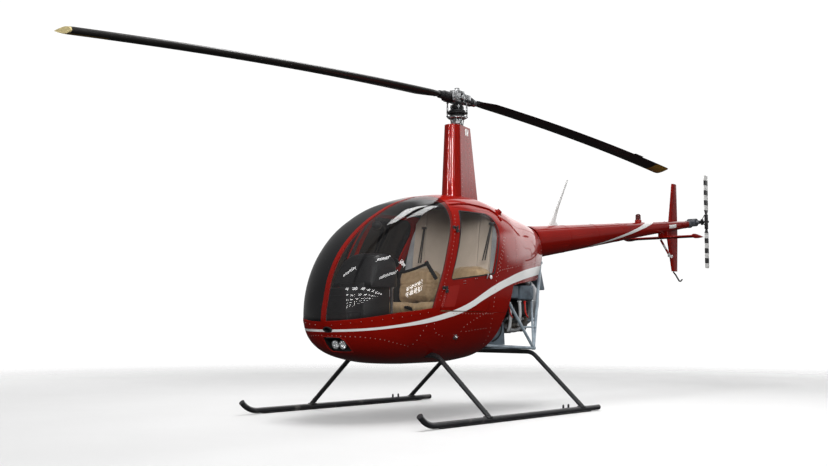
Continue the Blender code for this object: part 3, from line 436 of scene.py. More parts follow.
def skin_normals(mesh, reach):
    """Gives the outer faces of a body panel the skin's own smooth normals."""
    back = Vector((-MAST_X, 0.0, 0.0))
    known = {}
    normals = [corner.vector.copy() for corner in mesh.corner_normals]
    for face in mesh.polygons:
        distance, way = smooth_way(face.center + back)
        if distance > reach or way.dot(face.normal) < 0.85:
            continue
        for corner in face.loop_indices:
            number = mesh.loops[corner].vertex_index
            if number not in known:
                known[number] = smooth_way(mesh.vertices[number].co + back)
            if known[number][0] < reach:
                normals[corner] = known[number][1]
    mesh.normals_split_custom_set(normals)


def skin_panel(wall, outline, low_y, high_y, cuts=(), lift=0.0):
    """A panel of the fuselage, as thick as its wall, between side-view lines."""
    thick = evaluated(fine_skin.copy(), [("SOLIDIFY",
        {"thickness": wall + lift, "offset": -1.0 + 2 * lift / (wall + lift), "use_rim": True})])
    return cut(thick, [("INTERSECT", prism(outline, low_y, high_y)), *cuts])


ARC_STEPS = 8


def rounded(corners, grow=0.0):
    """An outline whose corners are arcs. Each corner is x, z, radius and its way out."""
    points = [Vector((x + grow * way_x, z + grow * way_z)) for x, z, radius, way_x, way_z in corners]
    outline = []
    for index, point in enumerate(points):
        before = (points[index - 1] - point).normalized()
        after = (points[(index + 1) % len(points)] - point).normalized()
        half = before.angle(after) / 2
        radius = max(corners[index][2] + grow, 0.002)
        span = radius / math.tan(half)
        centre = point + (before + after).normalized() * radius / math.sin(half)
        first = point + before * span - centre
        sweep = first.angle_signed(point + after * span - centre)
        for step in range(ARC_STEPS + 1):
            outline.append(tuple(centre + Matrix.Rotation(-sweep * step / ARC_STEPS, 2) @ first))
    return outline


# Red enamel. A deep metallic red under clear lacquer, with a white stripe that rises from the nose along
# the doors to the cowls. The stripe is masked and sprayed, so it lies in the paint, not on it.
STRIPE_TOP = ((-1.03, 1.245), (-0.529, 1.198), (-0.224, 1.151), (0.008, 1.093), (0.196, 1.035),
    (0.367, 0.966), (0.522, 0.896), (0.668, 0.845), (0.808, 0.809), (0.980, 0.769), (1.158, 0.734),
    (1.34, 0.706), (1.447, 0.692), (1.592, 0.678))
STRIPE_LOW = ((-1.03, 1.17), (-0.529, 1.124), (-0.216, 1.077), (0.01, 1.029), (0.196, 0.971),
    (0.366, 0.911), (0.519, 0.846), (0.664, 0.799), (0.802, 0.767), (0.980, 0.733), (1.155, 0.709),
    (1.337, 0.687), (1.446, 0.674), (1.592, 0.66))
CURVE_X = (-1.2, 1.7)
CURVE_Z = (0.5, 1.4)


def curve_height(start, along, points):
    """Height of a line of points above the floor, as a wire that depends on the place along the machine."""
    low_x, high_x = CURVE_X
    low_z, high_z = CURVE_Z
    made = start.tree.nodes.new("ShaderNodeFloatCurve")
    line = made.mapping.curves[0]
    scaled = [((x - low_x) / (high_x - low_x), (z - low_z) / (high_z - low_z)) for x, z in sorted(points)]
    while len(line.points) < len(scaled):
        line.points.new(0.5, 0.5)
    for target, place in zip(line.points, scaled):
        target.location = place
    made.mapping.update()
    start.tree.links.new(((along - (MAST_X + low_x)) / (high_x - low_x)).socket, made.inputs["Value"])
    return Wire(start.tree, made.outputs[0]) * (high_z - low_z) + low_z


STRIPE_WHITE = (0.8, 0.8, 0.79)


def red_enamel(name, mask=None):
    """Red paint. The mask, made from the place's three axes, is 1 where the paint is white."""
    paint = Finish(name, (0.22, 0.005, 0.002), 0.36, 0.15, Coat_Weight=0.5, Coat_Roughness=0.03,
        Specular_IOR_Level=0.0)
    start = paint.start
    along, across, up = start.axes()
    cloud = start.noise(2.2, 3.0)
    base = start.blend(cloud.step(0.35, 0.65), (0.215, 0.004, 0.0015), (0.25, 0.0054, 0.0022))
    flake = start.noise(900.0, 1.0)
    grime = start.noise(5.0, 5.0).step(0.52, 0.75)
    rough = 0.32 + flake * 0.08 + grime * 0.05
    if mask:
        white_part = mask(start, along, across, up)
        base = start.blend(white_part, base, STRIPE_WHITE)
        paint.set("Metallic", 0.15 - 0.15 * white_part)
    paint.set("Base Color", base)
    paint.rough(rough)
    paint.bump(start.noise(55.0, 2.0), 0.0006, 0.1)
    return paint


def body_stripe(start, along, across, up):
    edge = 0.0012
    below = (up - curve_height(start, along, STRIPE_LOW)).step(-edge, edge)
    above = (curve_height(start, along, STRIPE_TOP) - up).step(-edge, edge)
    return below * above


red_body = red_enamel("red_body", body_stripe)
black_rubber = Finish("black_rubber", (0.012, 0.012, 0.013), 0.55)
black_rubber.rough(0.5 + black_rubber.noise(160.0) * 0.2)
black_rubber.bump(black_rubber.noise(420.0), 0.0004, 0.25)

# Lower hull. The riveted tub that carries floor, seats and landing gear. Its top edge takes the
# windscreen in a screwed sill band, and its nose has a recess for the landing lamps.
SEAM = 0.0006
WALL = 0.022
SKIN_FIT = 0.003
SILL = ((0.951, 0.842), (1.096, 0.823), (1.264, 0.804), (1.432, 0.773), (1.543, 0.75), (1.592, 0.736))
FIREWALL = ((0.115, 0.45), (0.065, 0.6), (0.04, 0.74), (-0.09, 1.035), (-0.342, 1.8))
DOOR_SILL_Z = 0.812


def tube(points, radius, sides=12, smooth=False):
    """A round tube along points in space."""
    curve = bpy.data.curves.new("tube", "CURVE")
    curve.dimensions = "3D"
    curve.bevel_depth = radius
    curve.bevel_resolution = max(sides // 4 - 1, 0)
    curve.use_fill_caps = True
    line = curve.splines.new("NURBS" if smooth else "POLY")
    line.points.add(len(points) - 1)
    for target, point in zip(line.points, points):
        target.co = (*point, 1.0)
    if smooth:
        line.order_u = 4
        line.use_endpoint_u = True
        line.resolution_u = 6
    holder = linked("tube", curve)
    bm = bmesh.new()
    bm.from_mesh(final_mesh(holder))
    bmesh.ops.remove_doubles(bm, verts=bm.verts, dist=0.00005)
    return mesh_from(bm)


def rod(start, end, radius, sides=20, end_radius=None, bevel=0.0):
    """A round or six-sided bar between two points."""
    bm = bmesh.new()
    start, end = Vector(start), Vector(end)
    along = end - start
    place = Matrix.Translation((start + end) / 2) @ along.to_track_quat("Z", "Y").to_matrix().to_4x4()
    bmesh.ops.create_cone(bm, cap_ends=True, segments=sides, radius1=radius,
        radius2=radius if end_radius is None else end_radius, depth=along.length, matrix=place)
    if bevel:
        rim = [edge for edge in bm.edges if any(len(face.verts) > 4 for face in edge.link_faces)]
        bmesh.ops.bevel(bm, geom=rim, offset=bevel, segments=2, affect="EDGES", profile=0.5)
    return mesh_from(bm)


def block(low, high, bevel=0.0, segments=2):
    """A box between two corners, with eased edges."""
    bm = bmesh.new()
    size = Vector(high) - Vector(low)
    bmesh.ops.create_cube(bm, size=1.0, matrix=Matrix.Translation((Vector(high) + Vector(low)) / 2)
        @ Matrix.Diagonal((*size, 1.0)))
    if bevel:
        bmesh.ops.bevel(bm, geom=bm.edges[:], offset=bevel, segments=segments, affect="EDGES", profile=0.5)
    return mesh_from(bm)


def turned(profile, centre=(0, 0, 0), axis="Z", sides=40):
    """A body of revolution from a closed profile of (radius, height) pairs."""
    bm = bmesh.new()
    ring = [bm.verts.new((radius, 0.0, height)) for radius, height in profile]
    edges = [bm.edges.new((ring[k], ring[(k + 1) % len(ring)])) for k in range(len(ring))]
    bmesh.ops.spin(bm, geom=ring + edges, cent=(0, 0, 0), axis=(0, 0, 1), angle=math.tau, steps=sides)
    bmesh.ops.remove_doubles(bm, verts=bm.verts, dist=0.00002)
    bmesh.ops.dissolve_degenerate(bm, dist=0.000005, edges=bm.edges)
    turn = Matrix.Rotation(math.pi / 2, 4, "Y") if axis == "X" else Matrix.Identity(4)
    bmesh.ops.transform(bm, matrix=Matrix.Translation(centre) @ turn, verts=bm.verts)
    return mesh_from(bm)


ARCH_TOP_Y = 0.434
ARCH_TOP_Z = 0.482
SKID_Y = 0.92
ARCH_FOOT_Z = 0.0535
ARCH_RADIUS = 0.019


def arch_points(x):
    """The line of a cross tube with both its legs."""
    foot = Vector((x, SKID_Y, ARCH_FOOT_Z))
    elbow = Vector((x, ARCH_TOP_Y, ARCH_TOP_Z))
    down = (foot - elbow).normalized()
    bend = []
    for part in np.linspace(0.0, 1.0, 7):
        flat = elbow + Vector((0, -0.05 * (1 - part), 0))
        slant = elbow + down * (0.05 * part)
        bend.append(flat.lerp(slant, part))
    left = [tuple(point) for point in bend + [foot + down * 0.03]]
    return [(px, -py, pz) for px, py, pz in reversed(left)] + left


hull_outline = [(1.8, 0.3), (1.8, 0.736 - SEAM)] + [(x, z - SEAM) for x, z in reversed(SILL)]
hull_outline += [(0.905, DOOR_SILL_Z - SEAM), (0.0083, DOOR_SILL_Z - SEAM)]
hull_outline += [FIREWALL[2], FIREWALL[1], FIREWALL[0], (0.16, 0.3)]
lamp_recess = prism(rounded([(0.0, 0.512, 0.02, 0, 0), (0.0, 0.618, 0.03, 0, 0), (0.2, 0.618, 0.04, 0, 0),
    (0.2, 0.512, 0.02, 0, 0)]), 1.36, 1.75)
lamp_recess.transform(Matrix(((0, 1, 0, 0), (1, 0, 0, -0.034), (0, 0, 1, 0.005), (0, 0, 0, 1))))
lamp_recess.flip_normals()
leg_hole = tube(arch_points(0.8), ARCH_RADIUS + 0.0035, 16)
VENT = (1.572, 0.034, 0.676)
vent_hole = rod((1.5, VENT[1], VENT[2]), (1.65, VENT[1], VENT[2] + 0.004), 0.021, 28)
vent_hole.transform(Matrix.Translation(VENT) @ Matrix.Diagonal((1.0, 2.0, 1.1, 1.0))
    @ Matrix.Translation([-value for value in VENT]))
hull = skin_panel(WALL, hull_outline, -0.9, 0.9, [("DIFFERENCE", lamp_recess), ("DIFFERENCE", leg_hole),
    ("DIFFERENCE", vent_hole)])
piece("lower_hull_skin", hull, red_body, "lower_hull", skin=SKIN_FIT)

# Sill band. A pressed strip that clamps the windscreen's lower edge, raised a little from the hull. It is
# aluminium, held by a row of screws and painted with the hull.
band = skin_panel(0.0015, [(x, z - 0.0012) for x, z in SILL] + [(1.8, 0.735), (1.8, 0.7)]
    + [(x, z - 0.036) for x, z in reversed(SILL)], -0.9, 0.9, lift=0.0018)
piece("sill_band", band, red_body, skin=SKIN_FIT)

# Cabin frame. Door posts, roof and the quarters behind the doors, one riveted shell with the two door
# openings.
POST = ((0.951, 0.842), (0.914, 0.94), (0.858, 1.069), (0.771, 1.296), (0.719, 1.401), (0.665, 1.519),
        (0.634, 1.605), (0.609, 1.675), (0.59, 1.72), (0.56, 1.77))
DOOR_GAP = 0.0055
REAR_GAP = 0.008
DOOR_LOW_Z = DOOR_SILL_Z + DOOR_GAP
DOOR_TOP_Z = 1.635
DOOR_FRONT = (0.903, 0.588)
DOOR_LIFT = 0.0075
DOOR_SIDES = (("left", 1, 0.25, 0.9), ("right", -1, -0.9, -0.25))


def door_corners(lift):
    """The door's corners. The panel's low front one is lifted along its edge, to clear the hull."""
    lean = (DOOR_FRONT[0] - DOOR_FRONT[1]) / (DOOR_TOP_Z - DOOR_LOW_Z)
    rear = -REAR_GAP / DOOR_GAP
    return ((DOOR_FRONT[0] - lean * lift, DOOR_LOW_Z + lift, 0.02, 1, -1),
        (DOOR_FRONT[1], DOOR_TOP_Z, 0.03, 1, 1), (-0.079, DOOR_TOP_Z, 0.11, rear, 1),
        (0.324, DOOR_LOW_Z, 0.06, rear, -1))


frame_outline = [(x - SEAM, z + SEAM) for x, z in POST] + [(0.54, 1.9), (-0.375, 1.9)]
frame_outline += [(x + SEAM, z) for x, z in reversed(FIREWALL[3:])]
frame_outline += [(0.0083 + SEAM, DOOR_SILL_Z + SEAM), (0.905, DOOR_SILL_Z + SEAM)]
openings = [("DIFFERENCE", prism(rounded(door_corners(0.0), 0.45 * DOOR_GAP), low, high))
    for _, _, low, high in DOOR_SIDES]
cabin = skin_panel(WALL, frame_outline, -0.9, 0.9, [(kind, tool.copy()) for kind, tool in openings])
piece("cabin_shell", cabin, red_body, "cabin_frame", skin=SKIN_FIT)

# Windscreen. Two blown acrylic halves on either side of a red centre strip, clamped under the sill band
# and the posts' band. The far half is tinted nearly black as painted shade, the near one is clearer.
BOW_HALF = 0.02
GLASS = 0.004


def tinted(name, cover, index):
    """Tinted acrylic: a dark film of colour under a hard gloss. cover is how much of the view it hides."""
    pane = Finish(name, (0.006, 0.006, 0.007), 0.03, 0.0, Specular_IOR_Level=0.5, IOR=index)
    start = pane.start
    edge = start.node("ShaderNodeLayerWeight", {"Blend": 0.35}, out=1)
    pane.set("Alpha", cover + (1.0 - cover) * edge.step(0.25, 1.0, 0.0, 0.75))
    pane.rough(0.02 + start.noise(6.0, 4.0).step(0.5, 0.8) * 0.03)
    return pane


clear_pane = tinted("near_acrylic", 0.12, 2.8)
# The far panes are tinted almost black. This is painted shade for the dark cabin seen through them, since the
# real acrylic is as clear as the near one. They are the far windscreen half and the far door's window.
far_pane_painted_shade = tinted("far_acrylic", 0.95, 1.45)
door_pane = tinted("door_acrylic", 0.09, 2.4)
screen_outline = [(x, z + SEAM) for x, z in SILL] + [(1.8, 0.737), (1.8, 1.9), (0.545, 1.9)]
screen_outline += [(x + SEAM, z) for x, z in reversed(POST[1:])]
piece("centre_strip", skin_panel(0.012, screen_outline, -BOW_HALF, BOW_HALF, lift=0.002), red_body,
    "windshield_bow", skin=SKIN_FIT)
panes = [piece("windscreen_left", skin_panel(GLASS, screen_outline, BOW_HALF + SEAM, 0.9), clear_pane,
    "windshield_left", skin=SKIN_FIT)]
panes.append(piece("windscreen_right", skin_panel(GLASS, screen_outline, -0.9, -BOW_HALF - SEAM), far_pane_painted_shade,
    "windshield_right", skin=SKIN_FIT))

# Doors. A pressed aluminium frame with an acrylic window bonded into it, painted with the hull and hung
# on two outside hinges at its front edge.
WINDOW_CORNERS = ((0.772, 1.058, 0.012, 1, -1), (0.54, 1.608, 0.02, 1, 1), (0.004, 1.608, 0.115, -1, 1),
    (0.222, 1.122, 0.035, -1, -1))
for side_name, side, low_y, high_y in DOOR_SIDES:
    body = f"{side_name}_door"
    panel = skin_panel(WALL, rounded(door_corners(DOOR_LIFT), 0.0004), low_y, high_y,
        [("DIFFERENCE", prism(rounded(WINDOW_CORNERS), low_y, high_y))])
    piece(f"door_panel_{side_name}", panel, red_body, f"door_{side_name}", body=body,
        skin=SKIN_FIT)
    glass = skin_panel(GLASS, rounded(WINDOW_CORNERS, -0.0004), low_y, high_y)
    panes.append(piece(f"door_glass_{side_name}", glass, door_pane if side_name == "left" else far_pane_painted_shade,
        f"door_window_{side_name}", body=body, skin=SKIN_FIT))
for pane in panes:
    pane.visible_shadow = False
    pane.visible_diffuse = False

# Engine cowls. Two removable skins behind the cabin, cut out at the rear corner round the frame. They are
# formed aluminium sheet, held by screws along their edges.
COWL_EDGE = ((-0.09, 1.035), (-0.215, 1.056), (-0.463, 1.081), (-0.716, 1.1), (-1.03, 1.112))
cowl_outline = [(x - SEAM, z + SEAM) for x, z in FIREWALL[3:]] + [(-0.375, 1.9), (-1.2, 1.9),
    (-1.2, 1.113)]
cowl_outline += list(reversed(COWL_EDGE[1:]))
corner_cut = [(-0.862, 1.085), (-0.98, 1.292), (-1.2, 1.292), (-1.2, 1.0), (-0.862, 1.0)]
for side_name, low_y, high_y in (("left", SEAM, 0.9), ("right", -0.9, -SEAM)):
    cowl = skin_panel(0.010, cowl_outline, low_y, high_y, [("DIFFERENCE", prism(corner_cut, -0.9, 0.9))])
    piece(f"cowl_skin_{side_name}", cowl, red_body, f"cowl_{side_name}", skin=SKIN_FIT)

# Rivets and screws. Round heads set in rows through the skin, at an even pitch, and painted over with it.
# Their pale pink heads are partly worn paint and partly a painted highlight. The few that hold removable
# parts are bare steel.
class Steps:
    """A Geometry Nodes tree with named inputs."""

    def __init__(self, name, **inputs):
        self.tree = bpy.data.node_groups.new(name, "GeometryNodeTree")
        face = self.tree.interface
        face.new_socket("Geometry", in_out="INPUT", socket_type="NodeSocketGeometry")
        self.ids = {}
        for key, value in inputs.items():
            kind = "NodeSocketInt" if isinstance(value, int) else "NodeSocketFloat"
            socket = face.new_socket(key, in_out="INPUT", socket_type=kind)
            socket.default_value = value
            self.ids[key] = socket.identifier
        face.new_socket("Geometry", in_out="OUTPUT", socket_type="NodeSocketGeometry")
        self.entry = self.tree.nodes.new("NodeGroupInput")

    def given(self, key):
        return self.entry.outputs[key]

    def add(self, kind, sockets=None, out=0, **settings):
        made = self.tree.nodes.new(kind)
        for key, value in settings.items():
            setattr(made, key, value)
        for key, value in (sockets or {}).items():
            if isinstance(value, bpy.types.NodeSocket):
                self.tree.links.new(value, made.inputs[key])
            else:
                made.inputs[key].default_value = value
        return made.outputs[out]

    def math(self, operation, first, second):
        return self.add("ShaderNodeMath", {0: first, 1: second}, operation=operation)

    def end(self, instances, finish):
        real = self.add("GeometryNodeRealizeInstances", {0: instances})
        real = self.add("GeometryNodeSetMaterial", {"Geometry": real, "Material": finish.material})
        self.tree.links.new(real, self.tree.nodes.new("NodeGroupOutput").inputs[0])

    def run(self, mesh, **values):
        """The tree's result on a mesh, as a plain mesh."""
        holder = linked(self.tree.name, mesh)
        step = holder.modifiers.new(self.tree.name, "NODES")
        step.node_group = self.tree
        for key, value in values.items():
            step[self.ids[key]] = value
        return final_mesh(holder)


heads = Steps("fastener_heads", Pitch=0.03, Radius=0.0035, Height=0.0012, Sides=10)
line_of_heads = heads.add("GeometryNodeMeshToCurve", {0: heads.given("Geometry")})
line_of_heads = heads.add("GeometryNodeResampleCurve",
    {"Curve": line_of_heads, "Length": heads.given("Pitch")}, mode="LENGTH")
way_out = heads.add("GeometryNodeInputNamedAttribute", {"Name": "way_out"}, data_type="FLOAT_VECTOR")
head_turn = heads.add("FunctionNodeAlignRotationToVector", {"Vector": way_out}, axis="Z")
head_shape = heads.add("GeometryNodeMeshCone", {"Vertices": heads.given("Sides"),
    "Radius Bottom": heads.given("Radius"), "Radius Top": heads.math("MULTIPLY", heads.given("Radius"),
    0.55), "Depth": heads.given("Height")})
# Pale pink heads: partly paint worn from the heads, partly a painted highlight that each head would catch.
rivet_head = Finish("rivet_head", (0.34, 0.13, 0.11), 0.35, 0.45)
rivet_head.tone(rivet_head.noise(40.0), (0.34, 0.06, 0.05), (0.8, 0.62, 0.58))
rivet_head.rough(0.28 + rivet_head.noise(200.0) * 0.2)
placed_heads = heads.add("GeometryNodeInstanceOnPoints",
    {"Points": line_of_heads, "Instance": head_shape, "Rotation": head_turn})
heads.end(placed_heads, rivet_head)


def lines_mesh(lines):
    """Lines of (point, way out) pairs, as loose edges that carry the way out as an attribute."""
    points = [point for line in lines for point, _ in line]
    ways = [way for line in lines for _, way in line]
    edges = []
    start = 0
    for line in lines:
        edges += [(start + k, start + k + 1) for k in range(len(line) - 1)]
        start += len(line)
    mesh = bpy.data.meshes.new("lines")
    mesh.from_pydata([tuple(point) for point in points], edges, [])
    attribute = mesh.attributes.new("way_out", "FLOAT_VECTOR", "POINT")
    attribute.data.foreach_set("vector", [value for way in ways for value in way])
    return mesh


LINE_STEPS = 6


def skin_line(points, side=1, lift=0.0):
    """A line that follows the body's skin, from its places in side view."""
    line = []
    for (x0, z0), (x1, z1) in zip(points[:-1], points[1:]):
        for part in np.linspace(0.0, 1.0, LINE_STEPS, endpoint=False):
            line.append(on_skin(x0 + (x1 - x0) * part, z0 + (z1 - z0) * part, side, lift))
    return line + [on_skin(*points[-1], side, lift)]


def fastener_rows(name, rows, finish, body="airframe", pitch=0.03, radius=0.0035, height=0.0012,
        sides=10, places=(1, -1)):
    lines = [skin_line(row, side) for row in rows for side in places]
    mesh = heads.run(lines_mesh(lines), Pitch=pitch, Radius=radius, Height=height, Sides=sides)
    return piece(name, mesh, finish, body=body, smooth=20.0)


HULL_ROWS = (((1.583, 0.712), (1.522, 0.734), (1.396, 0.752), (1.236, 0.774), (1.095, 0.795),
    (1.018, 0.806)), ((1.569, 0.635), (1.534, 0.629), (1.477, 0.626), (1.354, 0.608), (1.237, 0.581),
    (1.116, 0.556)), ((0.942, 0.724), (0.928, 0.684), (0.905, 0.656), (0.863, 0.640), (0.815, 0.629)),
    ((1.017, 0.706), (1.042, 0.662), (1.057, 0.620), (1.075, 0.574), (1.116, 0.556)),
    ((0.323, 0.806), (0.385, 0.785), (0.443, 0.763), (0.493, 0.743), (0.544, 0.717), (0.580, 0.697),
    (0.601, 0.663)), ((0.534, 0.661), (0.418, 0.675), (0.271, 0.684)),
    ((0.226, 0.800), (0.217, 0.719), (0.184, 0.638), (0.170, 0.560)),
    ((0.74, 0.8), (0.56, 0.8), (0.26, 0.8)),)
fastener_rows("hull_rivets", HULL_ROWS[1:], rivet_head, pitch=0.036, radius=0.0042)
sill_steel = Finish("sill_screws", (0.55, 0.42, 0.40), 0.35, 0.8)
sill_steel.rough(0.3 + sill_steel.noise(300.0) * 0.2)
fastener_rows("sill_screws", HULL_ROWS[:1], sill_steel, pitch=0.075, radius=0.0042,
    height=0.0052, sides=12)
CABIN_ROWS = (
    ((0.621, 1.564), (0.681, 1.429), (0.744, 1.281), (0.800, 1.137), (0.857, 1.010), (0.900, 0.900)),
    ((-0.010, 1.272), (0.009, 1.149)),
    ((0.004, 1.427), (0.074, 1.319), (0.132, 1.218), (0.179, 1.112), (0.212, 0.990), (0.226, 0.860)),
    ((-0.018, 1.425), (0.052, 1.317), (0.110, 1.216), (0.157, 1.110)),
    ((0.123, 1.150), (-0.034, 1.176), (-0.080, 1.183)),
)
fastener_rows("cabin_rivets", CABIN_ROWS, rivet_head, pitch=0.034, radius=0.0045, height=0.0020)
COWL_ROWS = (
    ((-0.150, 1.190), (-0.231, 1.202), (-0.440, 1.222), (-0.682, 1.254), (-0.940, 1.300)),
    ((-0.130, 1.050), (-0.463, 1.092), (-0.716, 1.112), (-0.840, 1.116)),
    ((-0.985, 1.320), (-1.005, 1.500)),
    ((-0.170, 1.240), (-0.235, 1.440), (-0.290, 1.600)),
)
fastener_rows("cowl_screws", COWL_ROWS, rivet_head, pitch=0.052, radius=0.0040)

# Post band and drip rail. A pressed strip riveted over the windscreen's rear edge, and a rail above the
# door. Both are aluminium, painted with the cabin's frame.
POST_BAND = 0.03
band_outline = [(x - 0.0012, z) for x, z in POST[:-1]]
band_outline += [(x - POST_BAND, z - 0.01) for x, z in reversed(POST[:-1])]
piece("post_band", skin_panel(0.0012, band_outline, -0.9, 0.9, lift=0.0016), red_body,
    skin=SKIN_FIT)
DRIP_RAIL = ((0.6, 1.655), (0.484, 1.672), (0.357, 1.68), (0.206, 1.676), (0.05, 1.664),
    (-0.03, 1.63), (-0.062, 1.57))
for side_name, side in (("left", 1), ("right", -1)):
    rail = tube([tuple(point) for point, _ in skin_line(DRIP_RAIL, side, 0.0035)], 0.0055, 12)
    piece(f"drip_rail_{side_name}", rail, red_body)

# Door fittings. Pressed frames round the windows, two hinges on each door, a lever handle with its lock,
# a stiffener riveted over the front edge and a small access panel.
steel = Finish("machined_steel", (0.55, 0.56, 0.57), 0.3, 0.95)
steel_grain = steel.noise(240.0, 3.0)
steel.rough(0.22 + steel_grain * 0.22)
steel.tone(steel.noise(9.0, 4.0).step(0.35, 0.7), (0.62, 0.63, 0.64), (0.4, 0.41, 0.42))
steel.bump(steel_grain, 0.0002, 0.15)
HINGE_LOW = Vector((0.8575, 0.572, 0.95))
HINGE_HIGH = Vector((0.6535, 0.526, 1.48))
HINGE_PLACES = (0.06, 0.95)
hinge_line = (HINGE_HIGH - HINGE_LOW).normalized()


def stood(place, way):
    """Stands a shape at a place with its own Z along the way."""
    return Matrix.Translation(place) @ way.to_track_quat("Z", "X").to_matrix().to_4x4()


def hinge_half(place, way, arm_x):
    """Barrel, arm, foot plate and two bolts of one hinge half. way is 1 on the frame and -1 on the door."""
    middle = HINGE_LOW.lerp(HINGE_HIGH, place)
    centre = middle + hinge_line * way * 0.013
    foot, way_out = on_skin(centre.x + arm_x, centre.z)
    parts = [rod(middle + hinge_line * way * 0.0004, middle + hinge_line * way * 0.026, 0.0078, 20,
        bevel=0.0012), rod(centre, foot - way_out * 0.004, 0.0058, 14),
        rod(middle + hinge_line * way * 0.026, middle + hinge_line * way * 0.0285, 0.005, 12, bevel=0.001)]
    plate = block((-0.012, -0.019, 0.0), (0.012, 0.019, 0.003), 0.001)
    plate.transform(stood(foot, way_out))
    bolts = []
    for offset in (-0.012, 0.012):
        along = hinge_line * offset
        bolts.append(rod(foot + along + way_out * 0.0025, foot + along + way_out * 0.0065, 0.0042, 6,
            bevel=0.0006))
    return joined([*parts, plate]), joined(bolts)


for side_name, side in (("left", 1), ("right", -1)):
    for owner, way, arm_x, body in (("frame", 1, 0.016, "airframe"),
            ("door", -1, -0.026, f"{side_name}_door")):
        halves = [hinge_half(place, way, arm_x) for place in HINGE_PLACES]
        for kind, finish, slot, number in (("hinges", black_rubber, "black_parts", 0),
                ("hinge_bolts", steel, "bare_metal", 1)):
            mesh = joined([half[number] for half in halves])
            piece(f"{owner}_{kind}_{side_name}", mesh if side > 0 else mirrored(mesh), finish,
                body=body)

DOOR_LEVER = (0.318, 1.112)
DOOR_LOCK = (0.27, 1.092)
panel_red = Finish("panel_red", (0.30, 0.010, 0.006), 0.4, 0.1, Coat_Weight=0.3, Coat_Roughness=0.06,
    Specular_IOR_Level=0.0)
panel_tone = panel_red.noise(3.0, 4.0).step(0.35, 0.65)
panel_red.tone(panel_tone, (0.255, 0.012, 0.009), (0.285, 0.019, 0.015))
panel_red.rough(0.38 + panel_red.noise(900.0) * 0.08)
white_cap = Finish("white_cap", (0.80, 0.80, 0.79), 0.35)
white_cap.rough(0.3 + white_cap.noise(200.0) * 0.15)
for side_name, side, low_y, high_y in DOOR_SIDES:
    body = f"{side_name}_door"
    ring_cut = [("DIFFERENCE", prism(rounded(WINDOW_CORNERS, -0.004), low_y, high_y))]
    gasket = skin_panel(0.001, rounded(WINDOW_CORNERS, 0.0065), low_y, high_y, ring_cut, lift=0.0014)
    piece(f"window_gasket_{side_name}", gasket, black_rubber, body=body)
    access = skin_panel(0.0012, rounded([(0.67, 1.023, 0.012, 0, 0), (0.794, 1.005, 0.012, 0, 0),
        (0.865, 0.846, 0.012, 0, 0), (0.736, 0.852, 0.012, 0, 0)]), low_y, high_y, lift=0.003)
    strap = skin_panel(0.0012, [(0.806, 1.004), (0.838, 1.0), (0.89, 0.852), (0.872, 0.846)], low_y,
        high_y, lift=0.0038)
    piece(f"door_doublers_{side_name}", [access, strap], panel_red, body=body, skin=0.005)
    fastener_rows(f"door_rivets_{side_name}", (((0.815, 0.994), (0.874, 0.850)),
        ((0.828, 0.992), (0.882, 0.862))), rivet_head, body=body, pitch=0.013, radius=0.0036,
        height=0.0052, places=(side,))
    rows = (((0.62, 1.05), (0.6, 1.052)), ((0.474, 1.074), (0.454, 1.077)),
        ((0.62, 1.032), (0.6, 1.034)))
    fastener_rows(f"door_screws_{side_name}", rows, steel, body=body, pitch=0.02,
        radius=0.0042, height=0.002, places=(side,))
    place, way_out = on_skin(*DOOR_LEVER, side)
    lock_place, lock_out = on_skin(*DOOR_LOCK, side)
    tip, tip_out = on_skin(DOOR_LEVER[0] + 0.022, DOOR_LEVER[1] - 0.034, side)
    handle = [rod(place, place + way_out * 0.01, 0.007, 20, bevel=0.001),
        tube([place + way_out * 0.009, place.lerp(tip, 0.4) + way_out * 0.013, tip + tip_out * 0.01],
        0.0042, 12, smooth=True)]
    piece(f"door_handle_{side_name}", handle, steel, body=body)
    cap = [rod(lock_place, lock_place + lock_out * 0.004, 0.0165, 28, bevel=0.0012),
           rod(lock_place + lock_out * 0.004, lock_place + lock_out * 0.0055, 0.008, 20, bevel=0.0008)]
    piece(f"door_lock_{side_name}", cap, white_cap, body=body)

# Nose. A black ram-air vent in the middle, and twin landing lamps with mirror bowls under a red lip. The
# vent is moulded rubber, and each lamp sits in a turned steel rim.
vent_rim = turned(((0.0165, -0.008), (0.0225, -0.008), (0.025, 0.0), (0.0225, 0.006), (0.0175, 0.007),
    (0.0155, 0.001)), axis="X")
vent_cup = turned(((0.0, -0.028), (0.0185, -0.028), (0.0225, -0.004), (0.0205, -0.004), (0.0165, -0.0245),
    (0.0, -0.0245)), axis="X")
vent_rim = joined([vent_rim, vent_cup])
vent_turn = Matrix.Rotation(math.radians(24), 4, "Y") @ Matrix.Diagonal((1.0, 2.0, 1.1, 1.0))
vent_rim.transform(Matrix.Translation((VENT[0] + 0.004, VENT[1], VENT[2])) @ vent_turn)
piece("nose_vent", vent_rim, black_rubber)
mirror = Finish("lamp_mirror", (0.85, 0.86, 0.87), 0.08, 1.0)
mirror.rough(0.05 + mirror.noise(90.0) * 0.1)
mirror.bump(mirror.start.cells(260.0), 0.0015, 0.5)
lamp_glass = Finish("lamp_glass", (0.9, 0.92, 0.94), 0.04, 0.0, Coat_Weight=1.0)
lamp_glass.set("Alpha", 0.16 + lamp_glass.noise(60.0) * 0.05)
lamp_glass.rough(0.03 + lamp_glass.noise(200.0) * 0.04)
LAMPS = ((1.502, 0.046, 0.57), (1.492, 0.112, 0.569))
LAMP_AIM = Vector((0.93, 0.1, -0.2)).normalized()
bowls, lenses, rims = [], [], []
